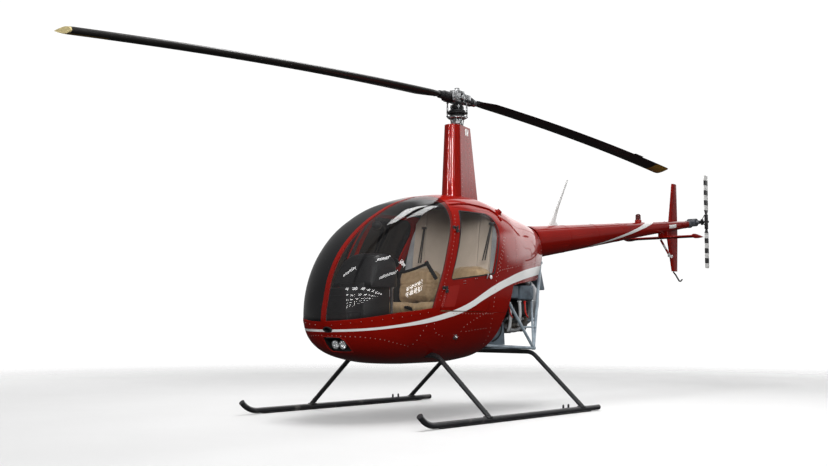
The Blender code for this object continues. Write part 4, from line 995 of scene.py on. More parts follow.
for centre in LAMPS:
    turn = stood(centre, LAMP_AIM)
    bowl = [(0.03 * math.sin(part), 0.004 - 0.024 * math.cos(part))
        for part in np.linspace(0.12, math.pi / 2, 9)]
    bowl += [(0.0312, 0.004)] + [(0.0312 * math.sin(part), 0.002 - 0.025 * math.cos(part))
        for part in np.linspace(math.pi / 2, 0.12, 9)]
    lens = [(0.0, 0.01)] + [(0.0298 * math.sin(part), 0.002 + 0.008 * math.cos(part))
        for part in np.linspace(0.2, math.pi / 2, 7)]
    lens += [(0.0298, 0.0005), (0.0, 0.0005)]
    rim = [(0.0298, -0.002), (0.0345, -0.002), (0.035, 0.003), (0.0335, 0.006), (0.03, 0.005)]
    for profile, group in ((bowl, bowls), (lens, lenses), (rim, rims)):
        mesh = turned(profile)
        mesh.transform(turn)
        group.append(mesh)
    bowls.append(rod(Vector(centre) - LAMP_AIM * 0.018, Vector(centre) - LAMP_AIM * 0.004, 0.005, 14,
        bevel=0.001))
piece("lamp_bowls", bowls, mirror, "landing_lamps")
piece("lamp_lenses", lenses, lamp_glass)
piece("lamp_rims", rims, steel)
recess_edge = []
for corner_y, corner_z in ((-0.034, 0.625), (0.05, 0.626), (0.125, 0.624), (0.158, 0.604), (0.17, 0.56),
        (0.16, 0.516), (0.06, 0.513), (-0.012, 0.516), (-0.034, 0.54), (-0.034, 0.625)):
    low_x, high_x = 1.3, 1.62
    for _ in range(24):
        middle_x = (low_x + high_x) / 2
        low_x, high_x = (middle_x, high_x) if skin_y(middle_x, corner_z) > abs(corner_y) else (low_x,
            middle_x)
    recess_edge.append((low_x + 0.001, corner_y, corner_z))
piece("lamp_lip", tube(recess_edge, 0.0036, 12), panel_red)

# Fuel filler cap and position lamps. A turned aluminium cap with a grip, screwed into the rear quarter
# and painted, and a bright dome on a steel base low on each side.
FUEL_CAP = (-0.139, 1.655)
cap_place, cap_out = on_skin(*FUEL_CAP)
cap_parts = [rod(cap_place - cap_out * 0.004, cap_place + cap_out * 0.005, 0.036, 40, bevel=0.0015),
             rod(cap_place + cap_out * 0.005, cap_place + cap_out * 0.016, 0.026, 40, 0.023, bevel=0.002)]
grip = block((-0.021, -0.004, 0.015), (0.021, 0.004, 0.024), 0.0015)
grip.transform(stood(cap_place, cap_out))
piece("fuel_cap", [*cap_parts, grip], red_body)
SIDE_LAMP = (0.65, 0.621)
for side_name, side in (("left", 1), ("right", -1)):
    place, way_out = on_skin(*SIDE_LAMP, side)
    turn = stood(place, way_out)
    base = turned(((0.0, -0.004), (0.022, -0.004), (0.022, 0.002), (0.017, 0.005), (0.0, 0.005)))
    dome = turned([(0.0, 0.004)] + [(0.0145 * math.sin(part), 0.005 + 0.02 * math.cos(part))
        for part in np.linspace(math.pi / 2, 0.0, 9)])
    for mesh in (base, dome):
        mesh.transform(turn)
    piece(f"side_lamp_base_{side_name}", base, steel)
    piece(f"side_lamp_{side_name}", dome, mirror)

# Cabin floor and seat box. A plywood floor under short black carpet, and a moulded box that carries both
# seats. Both are cut to the inside of the hull and screwed down.
carpet = Finish("black_carpet", (0.020, 0.019, 0.018), 0.95, Sheen_Weight=0.3, Sheen_Roughness=0.5)
pile = carpet.noise(700.0, 3.0)
carpet.tone(pile.step(0.3, 0.7), (0.012, 0.011, 0.011), (0.04, 0.037, 0.034))
carpet.rough(0.85 + pile * 0.12)
carpet.bump(pile, 0.002, 0.8)
moulded = Finish("moulded_plastic", (0.055, 0.053, 0.050), 0.5)
moulded_grain = moulded.start.cells(420.0)
moulded.rough(0.42 + moulded_grain * 0.2)
moulded.tone(moulded.noise(8.0, 4.0).step(0.4, 0.7), (0.06, 0.057, 0.053), (0.042, 0.04, 0.038))
moulded.bump(moulded_grain, 0.0006, 0.35)
FLOOR_TOP = 0.56
inside_hull = loft([body_ring(x, 40, WALL + 0.004) for x in np.linspace(-0.1, 1.4, 80)])


def fitted(mesh):
    """The part of a mesh that lies inside the hull."""
    return cut(mesh, [("INTERSECT", inside_hull.copy())])


floor_board = fitted(block((0.1056, -0.6, 0.5405), (1.3, 0.6, FLOOR_TOP - 0.0005), 0.001))
piece("carpeted_floor", floor_board, carpet, "cabin_floor")
box_outline = [(0.14, 0.5604), (0.6, 0.5604), (0.66, 0.8), (0.14, 0.8)]
seat_base = eased(prism(box_outline, -0.505, 0.505), 0.008)
piece("seat_base", fitted(seat_base), moulded, "seat_box")

# Headliner and side lining. Charcoal felt on thin board, glued inside the frame and the hull's sides. It
# leaves the door openings free.
felt = Finish("charcoal_felt", (0.030, 0.028, 0.026), 0.95, Sheen_Weight=0.2)
nap = felt.noise(500.0, 3.0)
felt.tone(nap.step(0.3, 0.7), (0.012, 0.011, 0.01), (0.026, 0.024, 0.022))
felt.rough(0.88 + nap * 0.1)
felt.bump(nap, 0.0015, 0.6)
LINER_LIFT = -0.0232
lined = [("frame", [(x + 0.004, z) for x, z in frame_outline[:10]]
    + [(0.54, 1.9), (0.04, 1.9), (0.0083, 0.83), (0.905, 0.83)], openings),
    ("hull", [(0.120, 0.562), (1.380, 0.562), (1.400, 0.745), (1.250, 0.775), (0.960, 0.800),
    (0.115, 0.8)], [])]
for place, outline, holes in lined:
    liner = evaluated(fine_skin.copy(), [("SOLIDIFY",
        {"thickness": 0.0014, "offset": -1.0 + 2.0 * LINER_LIFT / 0.0014, "use_rim": True})])
    liner = cut(liner, [("INTERSECT", prism(outline, -0.9, 0.9)),
        *[(kind, tool.copy()) for kind, tool in holes]])
    piece(f"{place}_liner", liner, felt, smooth=40.0)

# Rear lining. Beige cloth glued over a foam-backed panel behind the seats, sewn in upright panels. A
# painted sheet-metal web closes the gap to the skin at each side; its pale grey is partly painted light
# from behind the seats.
lining = Finish("woven_lining", (0.36, 0.30, 0.24), 0.9, Sheen_Weight=0.35, Sheen_Roughness=0.4)
start = lining.start
along, across, up = start.axes()
warp = (across * 1900.0).math("SINE")
weft = (up * 1900.0).math("SINE")
weave = warp * weft * 0.5 + 0.5
soil = start.noise(4.0, 4.0).step(0.35, 0.75)
lining.tone(soil, (0.64, 0.545, 0.45), (0.53, 0.445, 0.36))
lining.rough(0.82 + weave * 0.12)
seams = None
for place in (-0.29, 0.0, 0.29):
    dip = (across - place).math("ABSOLUTE").step(0.0, 0.012)
    seams = dip if seams is None else seams * dip
lining.bump(seams + weave * 0.06, 0.006, 0.8)
lining_outline = [(0.155, 0.8004), (0.15, 0.905), (0.05, 1.7), (0.022, 1.7), (0.125, 0.8004)]
panel = eased(prism(lining_outline, -0.41, 0.41), 0.006)
piece("lining_panel", fitted(panel), lining, "rear_lining")
# The web's pale grey is partly painted light: the bright patch that light from behind the seats makes there.
grey_web_painted_light = Finish("pale_grey_paint", (0.42, 0.44, 0.45), 0.45, Coat_Weight=0.2)
grey_web_painted_light.tone(grey_web_painted_light.noise(7.0, 4.0).step(0.35, 0.7), (0.46, 0.48, 0.49), (0.33, 0.35, 0.36))
grey_web_painted_light.rough(0.4 + grey_web_painted_light.noise(260.0) * 0.15)
for side_name, low_y, high_y in (("left", 0.4115, 0.60), ("right", -0.60, -0.4115)):
    web = fitted(prism([(0.122, 0.8004), (0.117, 0.905), (0.028, 1.7), (0.02, 1.7), (0.109, 0.905),
        (0.114, 0.8004)], low_y, high_y))
    piece(f"side_web_{side_name}", web, grey_web_painted_light, smooth=40.0)

# Seats. Foam cushions covered in tan leather, with one seam across the middle and one near each side.
# Each is swelled as a soft body, then its seams are drawn in.
leather = Finish("tan_leather", (0.30, 0.20, 0.115), 0.5, Specular_IOR_Level=0.45, Sheen_Weight=0.15)
start = leather.start
cells = start.cells(330.0, feature="DISTANCE_TO_EDGE")
folds = start.noise(26.0, 5.0, rough=0.6)
leather.tone(folds.step(0.35, 0.7), (0.52, 0.37, 0.21), (0.4, 0.27, 0.145))
leather.rough(0.4 + folds * 0.18 + cells.step(0.0, 0.08, 0.12, 0.0))
leather.bump(cells.step(0.0, 0.1) * 0.5 + folds * 1.4, 0.0016, 0.45)
SEAT_LOW_Y = 0.03
SEAT_HIGH_Y = 0.49
CUSHION_SIDE = ((0.215, 0.8004), (0.65, 0.8004), (0.69, 0.85), (0.66, 0.88), (0.205, 0.862))
BACK_SIDE = ((0.1467, 0.875), (0.262, 0.885), (0.225, 1.215), (0.135, 1.215), (0.1129, 1.165))
CUSHION_SHRINK = 0.012
CUSHION_CROWN = 0.02
SWELL_FRAMES = 20
SEAM_DEPTH = 0.007
SEAM_WIDTH = 0.01


def cushion(outline, low_y, high_y):
    middle = sum((Vector(corner) for corner in outline), Vector((0, 0))) / len(outline)
    small = []
    for corner in outline:
        inward = middle - Vector(corner)
        small.append(tuple(Vector(corner) + inward.normalized() * CUSHION_SHRINK))
    base = prism(small, low_y + CUSHION_SHRINK, high_y - CUSHION_SHRINK)
    base = evaluated(base, [("BEVEL", {"width": 0.020, "segments": 3}),
        ("REMESH", {"mode": "VOXEL", "voxel_size": 0.006})])
    rest = np.empty(len(base.vertices) * 3)
    base.vertices.foreach_get("co", rest)
    rest = rest.reshape(-1, 3)
    holder = linked("soft", base)
    cloth = holder.modifiers.new("cloth", "CLOTH")
    cloth.settings.use_pressure = True
    cloth.settings.uniform_pressure_force = 4.0
    cloth.settings.effector_weights.gravity = 0.0
    cloth.settings.quality = 6
    cloth.point_cache.frame_start = 1
    cloth.point_cache.frame_end = SWELL_FRAMES
    for step in range(1, SWELL_FRAMES + 1):
        bpy.context.scene.frame_set(step)
    swelled = final_mesh(holder)
    bpy.context.scene.frame_set(1)
    grown = np.empty(len(swelled.vertices) * 3)
    swelled.vertices.foreach_get("co", grown)
    grown = grown.reshape(-1, 3)
    moved = grown - rest
    distance = np.linalg.norm(moved, axis=1, keepdims=True)
    grown = rest + moved * np.minimum(1.0, CUSHION_CROWN / np.maximum(distance, 1e-9))
    return base, grown


def sew(points, seams):
    """Draws the cover in along seams. Each seam is an axis number and its place on that axis."""
    middle = points.mean(axis=0)
    for axis, place in seams:
        away = np.abs(points[:, axis] - place)
        pull = SEAM_DEPTH * np.exp(-(away / SEAM_WIDTH) ** 2)
        out = points - middle
        out[:, axis] = 0.0
        out /= np.maximum(np.linalg.norm(out, axis=1, keepdims=True), 1e-9)
        points = points - out * pull[:, None]
    return points


def seat_part(name, outline, low_y, high_y, seams, node, taper=0.0):
    """Both seats' cushions or backs. A back is drawn in towards its top and bottom corners by the taper."""
    base, points = cushion(outline, low_y, high_y)
    points = sew(points, seams)
    middle_z = (min(z for _, z in outline) + max(z for _, z in outline)) / 2
    half_z = (max(z for _, z in outline) - min(z for _, z in outline)) / 2
    near_end = np.abs(points[:, 2] - middle_z) / half_z
    sideways = (points[:, 1] - (low_y + high_y) / 2) / ((high_y - low_y) / 2)
    points[:, 1] = (low_y + high_y) / 2 + (points[:, 1] - (low_y + high_y) / 2) * (1.0 - taper
        * near_end ** 3)
    points[:, 2] -= (points[:, 2] > middle_z) * 0.16 * taper * near_end ** 2 * np.abs(sideways) ** 2.6
    low = np.array([min(x for x, _ in outline) - 0.004, low_y - 0.006, min(z for _, z in outline) + 0.0002])
    high = np.array([max(x for x, _ in outline) + 0.01, high_y + 0.006, max(z for _, z in outline) + 0.014])
    points = np.clip(points, low, high)
    base.vertices.foreach_set("co", points.ravel())
    base.update()
    soft = evaluated(base, [("SUBSURF", {"levels": 1, "render_levels": 1})])
    bm = bmesh.new()
    bm.from_mesh(soft)
    soft = mesh_from(bm)
    for side_name, mesh in (("left", soft), ("right", mirrored(soft))):
        made = piece(f"{name}_{side_name}", mesh, leather, f"{node}_{side_name}", smooth=80.0)


seat_part("cushion", CUSHION_SIDE, SEAT_LOW_Y, SEAT_HIGH_Y, ((0, 0.43), (1, 0.085), (1, 0.435)),
    "seat_cushion")
seat_part("backrest", BACK_SIDE, SEAT_LOW_Y + 0.015, SEAT_HIGH_Y - 0.005,
    ((2, 1.05), (1, 0.10), (1, 0.430)), "seat_back", 0.36)

# Instrument console. A black moulded pod with a domed glare shield on a sheet-metal pedestal, and a
# battery box ahead of it.
console_black = Finish("console_black", (0.022, 0.022, 0.023), 0.42, 0.0, Coat_Weight=0.2, Coat_Roughness=0.2)
grain = console_black.start.cells(520.0)
console_black.rough(0.34 + grain * 0.18)
console_black.tone(console_black.noise(7.0, 4.0), (0.008, 0.008, 0.009), (0.018, 0.018, 0.019))
console_black.bump(grain, 0.0005, 0.3)
POD_TOP = 1.262
pod_side = rounded([(0.935, 1.0, 0.02, 0, 0), (0.955, POD_TOP, 0.07, 0, 0), (1.19, POD_TOP, 0.11, 0, 0),
    (1.3, 1.0, 0.03, 0, 0)])
pod_rings = []
for part in np.linspace(-1.0, 1.0, 33):
    reach = math.sin(part * math.pi / 2)
    scale = 0.3 + 0.7 * (1.0 - abs(reach) ** 3.2) ** (1 / 3.2)
    pod_rings.append([(1.3 + (x - 1.3) * (0.5 + 0.5 * scale), 0.2045 * reach,
        1.0 + (z - 1.0) * scale) for x, z in pod_side])
pod = loft(pod_rings)
pedestal = block((1.0, -0.13, FLOOR_TOP + 0.0004), (1.292, 0.13, 1.03), 0.006)
nose_case = block((1.28, -0.12, 0.64), (1.44, 0.1, 0.99), 0.012, 3)
pod_parts = [pod, pedestal, nose_case]
for z in (0.68, 0.8, 0.92):
    pod_parts.append(block((1.276, -0.123, z), (1.4425, 0.103, z + 0.012), 0.002))
pod_parts.append(block((1.03, -0.1345, 0.62), (1.27, 0.1345, 0.66), 0.003))
piece("console", pod_parts, console_black, "instrument_console")
dial_glass = Finish("dial_glass", (0.010, 0.010, 0.011), 0.08, 0.0, Coat_Weight=1.0)
dial_glass.rough(0.05 + dial_glass.noise(90.0) * 0.05)
white_enamel = Finish("white_enamel", (0.80, 0.80, 0.79), 0.3, 0.0, Coat_Weight=0.6, Coat_Roughness=0.08)
soiling = white_enamel.noise(7.0, 5.0)
white_enamel.tone(soiling.step(0.45, 0.8), (0.82, 0.82, 0.81), (0.66, 0.65, 0.62))
white_enamel.rough(0.25 + soiling * 0.2)
white_enamel.bump(white_enamel.noise(300.0), 0.0002, 0.1)
bezels, faces, hands = [], [], []
for row, z in enumerate((1.19, 1.1)):
    for y in (-0.135, -0.045, 0.045, 0.135):
        x = 0.95 - (1.262 - z) * 0.0763
        bezels.append(turned(((0.03, -0.002), (0.0375, -0.002), (0.0375, 0.004), (0.034, 0.006),
            (0.030, 0.003)), (x, y, z), "X", 32))
        bezels[-1].transform(Matrix.Translation((x, y, z)) @ Matrix.Rotation(math.pi, 4, "Z")
            @ Matrix.Translation((-x, -y, -z)))
        faces.append(rod((x + 0.001, y, z), (x - 0.0015, y, z), 0.0305, 32))
        swing = 0.7 + row * 1.3 + y * 9.0
        hands.append(rod((x - 0.0022, y, z), (x - 0.0022, y + 0.021 * math.sin(swing),
            z + 0.021 * math.cos(swing)), 0.0011, 6))
piece("dial_bezels", bezels, black_rubber)
piece("dial_faces", faces, dial_glass)
piece("dial_hands", hands, white_enamel)

# Cyclic stick. One polished post between the seats, with a teetering bar that carries a grip for each
# pilot. The post is steel, and the grips are ribbed rubber with a red button.
STICK_X = 0.835
GRIP_Y = 0.385
post = [tube([(STICK_X, 0, FLOOR_TOP + 0.0006), (STICK_X, 0, 0.9), (STICK_X, 0, 1.1)], 0.0128, 24),
        rod((STICK_X, 0, FLOOR_TOP + 0.0006), (STICK_X, 0, FLOOR_TOP + 0.022), 0.032, 32, 0.018, bevel=0.002),
        rod((STICK_X - 0.024, 0, 1.112), (STICK_X + 0.024, 0, 1.112), 0.016, 24, bevel=0.002)]
piece("stick_post", post, steel, "cyclic_stick")
bar = [tube([(STICK_X + 0.02, -GRIP_Y, 1.18), (STICK_X + 0.01, -0.24, 1.142), (STICK_X, -0.1, 1.113),
    (STICK_X, 0.1, 1.113), (STICK_X + 0.01, 0.24, 1.142), (STICK_X + 0.02, GRIP_Y, 1.18)], 0.0108, 16,
    smooth=True)]
red_button = Finish("red_button", (0.40, 0.012, 0.010), 0.3, Coat_Weight=0.5)
red_button.rough(0.25 + red_button.noise(300.0) * 0.15)
grips = []
buttons = []
for side in (1, -1):
    top = Vector((STICK_X + 0.022, side * (GRIP_Y - 0.004), 1.187))
    low = Vector((STICK_X - 0.035, side * (GRIP_Y + 0.045), 1.062))
    way = (low - top).normalized()
    grips.append(rod(top, low, 0.0125, 20, bevel=0.002))
    for step in range(9):
        spot = top.lerp(low, 0.16 + step * 0.1)
        grips.append(rod(spot - way * 0.0055, spot + way * 0.0055, 0.0165 if step % 2 else 0.0152, 20,
            bevel=0.002))
    grips.append(rod(top - way * 0.012, top + way * 0.012, 0.0175, 20, 0.0155, bevel=0.004))
    buttons.append(rod(top - way * 0.01, top - way * 0.017, 0.0065, 16, bevel=0.0015))
piece("stick_bar", bar + grips, black_rubber)
piece("stick_buttons", buttons, red_button)

# Pedals and collective levers. Black tube pedals on the floor ahead of each seat, and two levers side by
# side between the seats. All are bent from steel tube, painted black and bolted down.
black_steel = Finish("black_steel", (0.020, 0.020, 0.022), 0.42, 0.3)
black_wear = black_steel.noise(30.0, 5.0)
black_steel.tone(black_wear.step(0.45, 0.75), (0.016, 0.016, 0.018), (0.05, 0.049, 0.047))
black_steel.rough(0.3 + black_wear * 0.28)
black_steel.bump(black_steel.noise(320.0), 0.0003, 0.2)
controls = []
for y in (-0.36, -0.2, 0.2, 0.36):
    controls.append(tube([(1.1, y, FLOOR_TOP + 0.002), (1.13, y, 0.64), (1.17, y, 0.7)], 0.008, 12,
        smooth=True))
    controls.append(rod((1.17, y - 0.042, 0.702), (1.17, y + 0.042, 0.702), 0.0105, 16, bevel=0.002))
for side in (1, -1):
    controls.append(tube([(0.4, side * 0.012, 0.802), (0.5, side * 0.012, 0.815),
        (0.6, side * 0.012, 0.838)], 0.009, 12, smooth=True))
    controls.append(rod((0.58, side * 0.012, 0.833), (0.66, side * 0.012, 0.853), 0.0105, 16, bevel=0.002))
piece("pedals_and_levers", controls, black_steel)

# Compass and shoulder belts. A black compass hangs from the centre strip, and each seat's webbing runs
# down the rear lining from a bolted guide. The left seat's pair lies along the lining's edge and is partly
# a dark strip put in for the shade in the gap there.
compass_place = Vector((1.009, 0.0, 1.487))
compass = turned([(0.0, -0.034)] + [(0.04 * math.sin(part), -0.034 * math.cos(part))
    for part in np.linspace(0.3, math.pi - 0.3, 12)] + [(0.0, 0.034)])
compass.transform(Matrix.Translation(compass_place))
compass_arm = rod(compass_place + Vector((0.0, 0.0, 0.028)), (1.03, 0.0, 1.548), 0.007, 16)
piece("compass", [compass, compass_arm], console_black, smooth=60.0)
webbing_and_gap_shade = Finish("black_webbing", (0.030, 0.028, 0.026), 0.8, Sheen_Weight=0.2)
ribs = webbing_and_gap_shade.start.waves(240.0, "Y")
webbing_and_gap_shade.rough(0.7 + ribs * 0.15)
webbing_and_gap_shade.tone(ribs, (0.022, 0.02, 0.019), (0.06, 0.055, 0.05))
webbing_and_gap_shade.bump(ribs, 0.0008, 0.4)
straps = []
guides = []
# The second pair, at the left seat, lies along the lining's edge. It is partly a belt and partly a dark strip
# put in for the shade in the gap beside the lining.
for top_y, low_y in ((-0.292, -0.286), (0.428, 0.402)):
    top = Vector((0.083, top_y, 1.54))
    low = Vector((0.155, low_y, 1.236))
    middle = top.lerp(low, 0.5)
    for part in (-0.5, 0.5):
        line = [top + Vector((0.003, part * 0.01, 0)), middle + Vector((0.004, part * 0.016, 0)),
            low + Vector((0.004, part * 0.026, 0)), low + Vector((0.06, part * 0.028, -0.006))]
        rows = []
        for point in line:
            rows.append([point + Vector((dx, dy, 0.0))
                for dx, dy in ((0, -0.006), (0, 0.006), (0.0022, 0.006), (0.0022, -0.006))])
        straps.append(loft(rows))
    guides.append(block(top + Vector((-0.004, -0.026, -0.008)), top + Vector((0.01, 0.026, 0.01)), 0.004))
piece("shoulder_belts", straps, webbing_and_gap_shade, smooth=60.0)
piece("belt_guides", guides, steel)

# Firewall and rear bulkhead. Stainless sheet between cabin and engine, and a pressed frame that closes
# the cowls. Both are painted grey-blue, and rows of rivets hold the sheet.
def hidden_metal(name, light, dark, roughness, metallic):
    """Painted or bare metal with oily patches, for what sits in the engine bay."""
    made = Finish(name, light, roughness, metallic)
    patches = made.noise(11.0, 5.0)
    fine = made.noise(170.0, 2.0)
    made.tone(patches.step(0.42, 0.72), light, dark)
    made.rough(roughness + (fine - 0.5) * 0.2 + patches * 0.08)
    made.bump(fine, 0.0006, 0.25)
    return made


grey_blue = hidden_metal("grey_blue_enamel", (0.13, 0.165, 0.20), (0.060, 0.075, 0.095), 0.42, 0.1)
frame_enamel = hidden_metal("frame_enamel", (0.31, 0.37, 0.42), (0.18, 0.22, 0.26), 0.25, 0.0)
frame_enamel.set("Coat Weight", 0.7)
cast_metal = hidden_metal("cast_aluminium", (0.42, 0.43, 0.45), (0.20, 0.20, 0.21), 0.45, 0.85)
riser_white = hidden_metal("riser_enamel", (0.78, 0.79, 0.80), (0.55, 0.56, 0.57), 0.3, 0.2)
black_iron = hidden_metal("black_iron", (0.030, 0.030, 0.032), (0.010, 0.010, 0.011), 0.5, 0.3)
burnt_steel = hidden_metal("burnt_steel", (0.36, 0.33, 0.30), (0.16, 0.11, 0.085), 0.38, 0.9)
for node, finish in (("firewall", grey_blue), ("cowl_bulkhead", grey_blue), ("lamp_tray", console_black)):
    cad_piece = bpy.data.objects[node]
    cad_piece.data.materials.clear()
    cad_piece.data.materials.append(finish.material)
fire_rows = []
for y in (-0.36, -0.2, 0.0, 0.2, 0.36):
    fire_rows.append([(Vector((x + 0.0002 - 0.0012, y, z)), Vector((-0.94, 0.0, -0.33)))
        for x, z in FIREWALL[1:4]])
piece("firewall_rivets", heads.run(lines_mesh(fire_rows), Pitch=0.032, Radius=0.0034, Height=0.0014),
    grey_blue, smooth=20.0)

# Engine. A flat four: cast crankcase, finned cylinders with rocker covers, sheet-metal cooling shrouds
# over them, push-rod tubes, intake risers and ignition leads.
fins = Steps("cooling_fins", Count=14, Spacing=0.0105, Radius=0.082, Thickness=0.0024)
fin_disc = fins.add("GeometryNodeMeshCylinder", {"Vertices": 36, "Radius": fins.given("Radius"),
    "Depth": fins.given("Thickness")})
fin_line = fins.add("GeometryNodeMeshLine", {"Count": fins.given("Count"), "Offset": (0.0, 0.0, 1.0)},
    mode="OFFSET")
fin_index = fins.add("GeometryNodeInputIndex")
fin_height = fins.math("MULTIPLY", fin_index, fins.given("Spacing"))
fin_place = fins.add("ShaderNodeCombineXYZ", {"Z": fin_height})
fin_line = fins.add("GeometryNodeSetPosition", {"Geometry": fin_line, "Position": fin_place})
fin_stack = fins.add("GeometryNodeInstanceOnPoints", {"Points": fin_line, "Instance": fin_disc})
fins.end(fin_stack, black_iron)
CYLINDER_Z = 0.845
CYLINDERS = [(x, side) for x in (-0.27, -0.5) for side in (1, -1)]
case_outline = [(-0.68, 0.64), (-0.13, 0.64), (-0.13, 1.0), (-0.68, 1.0)]
case = eased(prism(case_outline, -0.13, 0.13), 0.018)
engine_parts = [case, rod((-0.67, 0, 0.92), (-0.7546, 0, 0.92), 0.06, 48, bevel=0.003)]
for z in (0.68, 0.74, 0.8):
    engine_parts.append(block((-0.65, -0.1345, z), (-0.16, 0.1345, z + 0.01), 0.002))
for x in (-0.6, -0.385, -0.17):
    engine_parts.append(block((x - 0.006, -0.1345, 0.655), (x + 0.006, 0.1345, 0.985), 0.002))
sump_ribs = [block((-0.62 + 0.055 * step, -0.11, 0.634), (-0.612 + 0.055 * step, 0.11, 0.65), 0.001)
    for step in range(9)]
piece("crankcase", engine_parts + sump_ribs, cast_metal, "engine")
empty = bpy.data.meshes.new("seed")
empty.from_pydata([(0, 0, 0)], [], [])
stack = fins.run(empty)
cylinder_parts = []
cover_parts = []
lead_parts = []
tube_parts = []
for x, side in CYLINDERS:
    fins_here = stack.copy()
    fins_here.transform(Matrix.Translation((x, side * 0.155, CYLINDER_Z))
        @ Matrix.Rotation(-side * math.pi / 2, 4, "X"))
    cylinder_parts.append(fins_here)
    cylinder_parts.append(rod((x, side * 0.128, CYLINDER_Z), (x, side * 0.332, CYLINDER_Z), 0.068, 36))
    low_y, high_y = sorted((side * 0.3, side * 0.328))
    cylinder_parts.append(block((x - 0.07, low_y, CYLINDER_Z - 0.072),
        (x + 0.07, high_y, CYLINDER_Z + 0.066), 0.01, 3))
    low_y, high_y = sorted((side * 0.328, side * 0.342))
    cover_parts.append(block((x - 0.052, low_y, 0.788), (x + 0.052, high_y, 0.902), 0.014, 4))
    for dx, dz in ((-0.042, -0.045), (0.042, -0.045), (-0.042, 0.045), (0.042, 0.045)):
        cover_parts.append(rod((x + dx, side * 0.34, CYLINDER_Z + dz),
            (x + dx, side * 0.3455, CYLINDER_Z + dz), 0.005, 6, bevel=0.0005))
    for dx in (-0.032, 0.032):
        tube_parts.append(rod((x + dx, side * 0.13, 0.735), (x + dx, side * 0.35, 0.765), 0.0095, 16))
    sweep = [(0.0, 0.345, 0.905), (0.035, 0.372, 0.868), (0.048, 0.382, 0.83), (0.036, 0.384, 0.794),
        (0.0, 0.378, 0.776), (-0.04, 0.35, 0.772)]
    lead_parts.append(tube([(x + dx, side * y, z) for dx, y, z in sweep], 0.006, 12, smooth=True))
    lead_parts.append(rod((x - 0.002, side * 0.342, 0.912), (x + 0.006, side * 0.35, 0.89), 0.0095, 14,
        bevel=0.001))
piece("cylinder_fins", cylinder_parts, black_iron)
piece("rocker_covers", cover_parts, black_iron)
piece("push_rod_tubes", tube_parts, steel)
riser_parts = []
for x, low_x, top_z, low_z in ((-0.261, -0.275, 0.872, 0.684), (-0.4, -0.422, 0.905, 0.735)):
    for side in (1, -1):
        route = [(x, side * 0.36, top_z), (x + (low_x - x) * 0.5, side * 0.362, (top_z + low_z) / 2),
            (low_x, side * 0.356, low_z), (low_x - 0.012, side * 0.318, low_z - 0.024)]
        riser_parts.append(tube(route, 0.0125, 16, smooth=True))
        riser_parts.append(rod((x, side * 0.36, top_z - 0.002), (x, side * 0.36, top_z + 0.01), 0.02, 6,
            bevel=0.002))
piece("intake_risers", riser_parts, riser_white)
red_lead = Finish("red_lead", (0.62, 0.020, 0.014), 0.45)
red_lead.rough(0.4 + red_lead.noise(200.0) * 0.15)
red_lead.bump(red_lead.noise(500.0), 0.0003, 0.2)
piece("ignition_leads", lead_parts, red_lead)
shroud_parts = []
for side in (1, -1):
    low_y, high_y = sorted((side * 0.112, side * 0.374))
    shroud_parts.append(block((-0.598, low_y, 0.925), (-0.392, high_y, 1.049), 0.012, 3))
    shroud_parts.append(block((-0.372, low_y, 0.935), (-0.152, high_y, 1.045), 0.012, 3))
    for x in (-0.56, -0.43, -0.34, -0.19):
        for z in (0.955, 1.025):
            shroud_parts.append(rod((x, side * 0.371, z), (x, side * 0.3772, z), 0.0042, 6, bevel=0.0005))
piece("cooling_shrouds", shroud_parts, grey_blue)

# Cooling fan and scroll. A cast fan wheel inside a spun aluminium scroll at the rear of the engine. The
# blades stand in a ring round a turned hub.
FAN_X, FAN_Z = -0.905, 0.92
scroll_profile = ((0.0, 0.138), (0.218, 0.138), (0.238, 0.13), (0.246, 0.11), (0.246, 0.04),
    (0.238, 0.020), (0.218, 0.012), (0.150, 0.012), (0.148, 0.006), (0.150, 0.0), (0.225, 0.0),
    (0.248, 0.012), (0.258, 0.035), (0.258, 0.115), (0.248, 0.138), (0.225, 0.15), (0.0, 0.15))
scroll = turned(scroll_profile, (FAN_X, 0, FAN_Z), "X", 72)
spun_aluminium = hidden_metal("spun_aluminium", (0.66, 0.67, 0.69), (0.45, 0.46, 0.48), 0.30, 0.75)
scroll.transform(Matrix.Translation((0, 0, FAN_Z)) @ Matrix.Diagonal((1.0, 0.92, 0.92, 1.0))
    @ Matrix.Translation((0, 0, -FAN_Z)))
piece("scroll", scroll, spun_aluminium, "fan_scroll")
blades_tree = Steps("fan_blades", Count=22, Reach=0.150, Length=0.095, Depth=0.062, Thickness=0.003,
    Lean=0.55)
blade_box = blades_tree.add("GeometryNodeMeshCube",
    {"Size": blades_tree.add("ShaderNodeCombineXYZ",
    {0: blades_tree.given("Length"), 1: blades_tree.given("Thickness"), 2: blades_tree.given("Depth")})})
blade_box = blades_tree.add("GeometryNodeTransform",
    {"Geometry": blade_box, "Rotation": blades_tree.add("ShaderNodeCombineXYZ",
    {2: blades_tree.given("Lean")})})
blade_box = blades_tree.add("GeometryNodeTransform",
    {"Geometry": blade_box, "Translation": blades_tree.add("ShaderNodeCombineXYZ",
    {0: blades_tree.given("Reach")})})
blade_line = blades_tree.add("GeometryNodeMeshLine",
    {"Count": blades_tree.given("Count"), "Offset": (0.0, 0.0, 0.0)}, mode="OFFSET")
blade_angle = blades_tree.math("MULTIPLY", blades_tree.add("GeometryNodeInputIndex"),
    blades_tree.math("DIVIDE", math.tau, blades_tree.given("Count")))
blade_fan = blades_tree.add("GeometryNodeInstanceOnPoints",
    {"Points": blade_line, "Instance": blade_box,
    "Rotation": blades_tree.add("ShaderNodeCombineXYZ", {2: blade_angle})})
blades_tree.end(blade_fan, cast_metal)
fan_blades = blades_tree.run(empty)
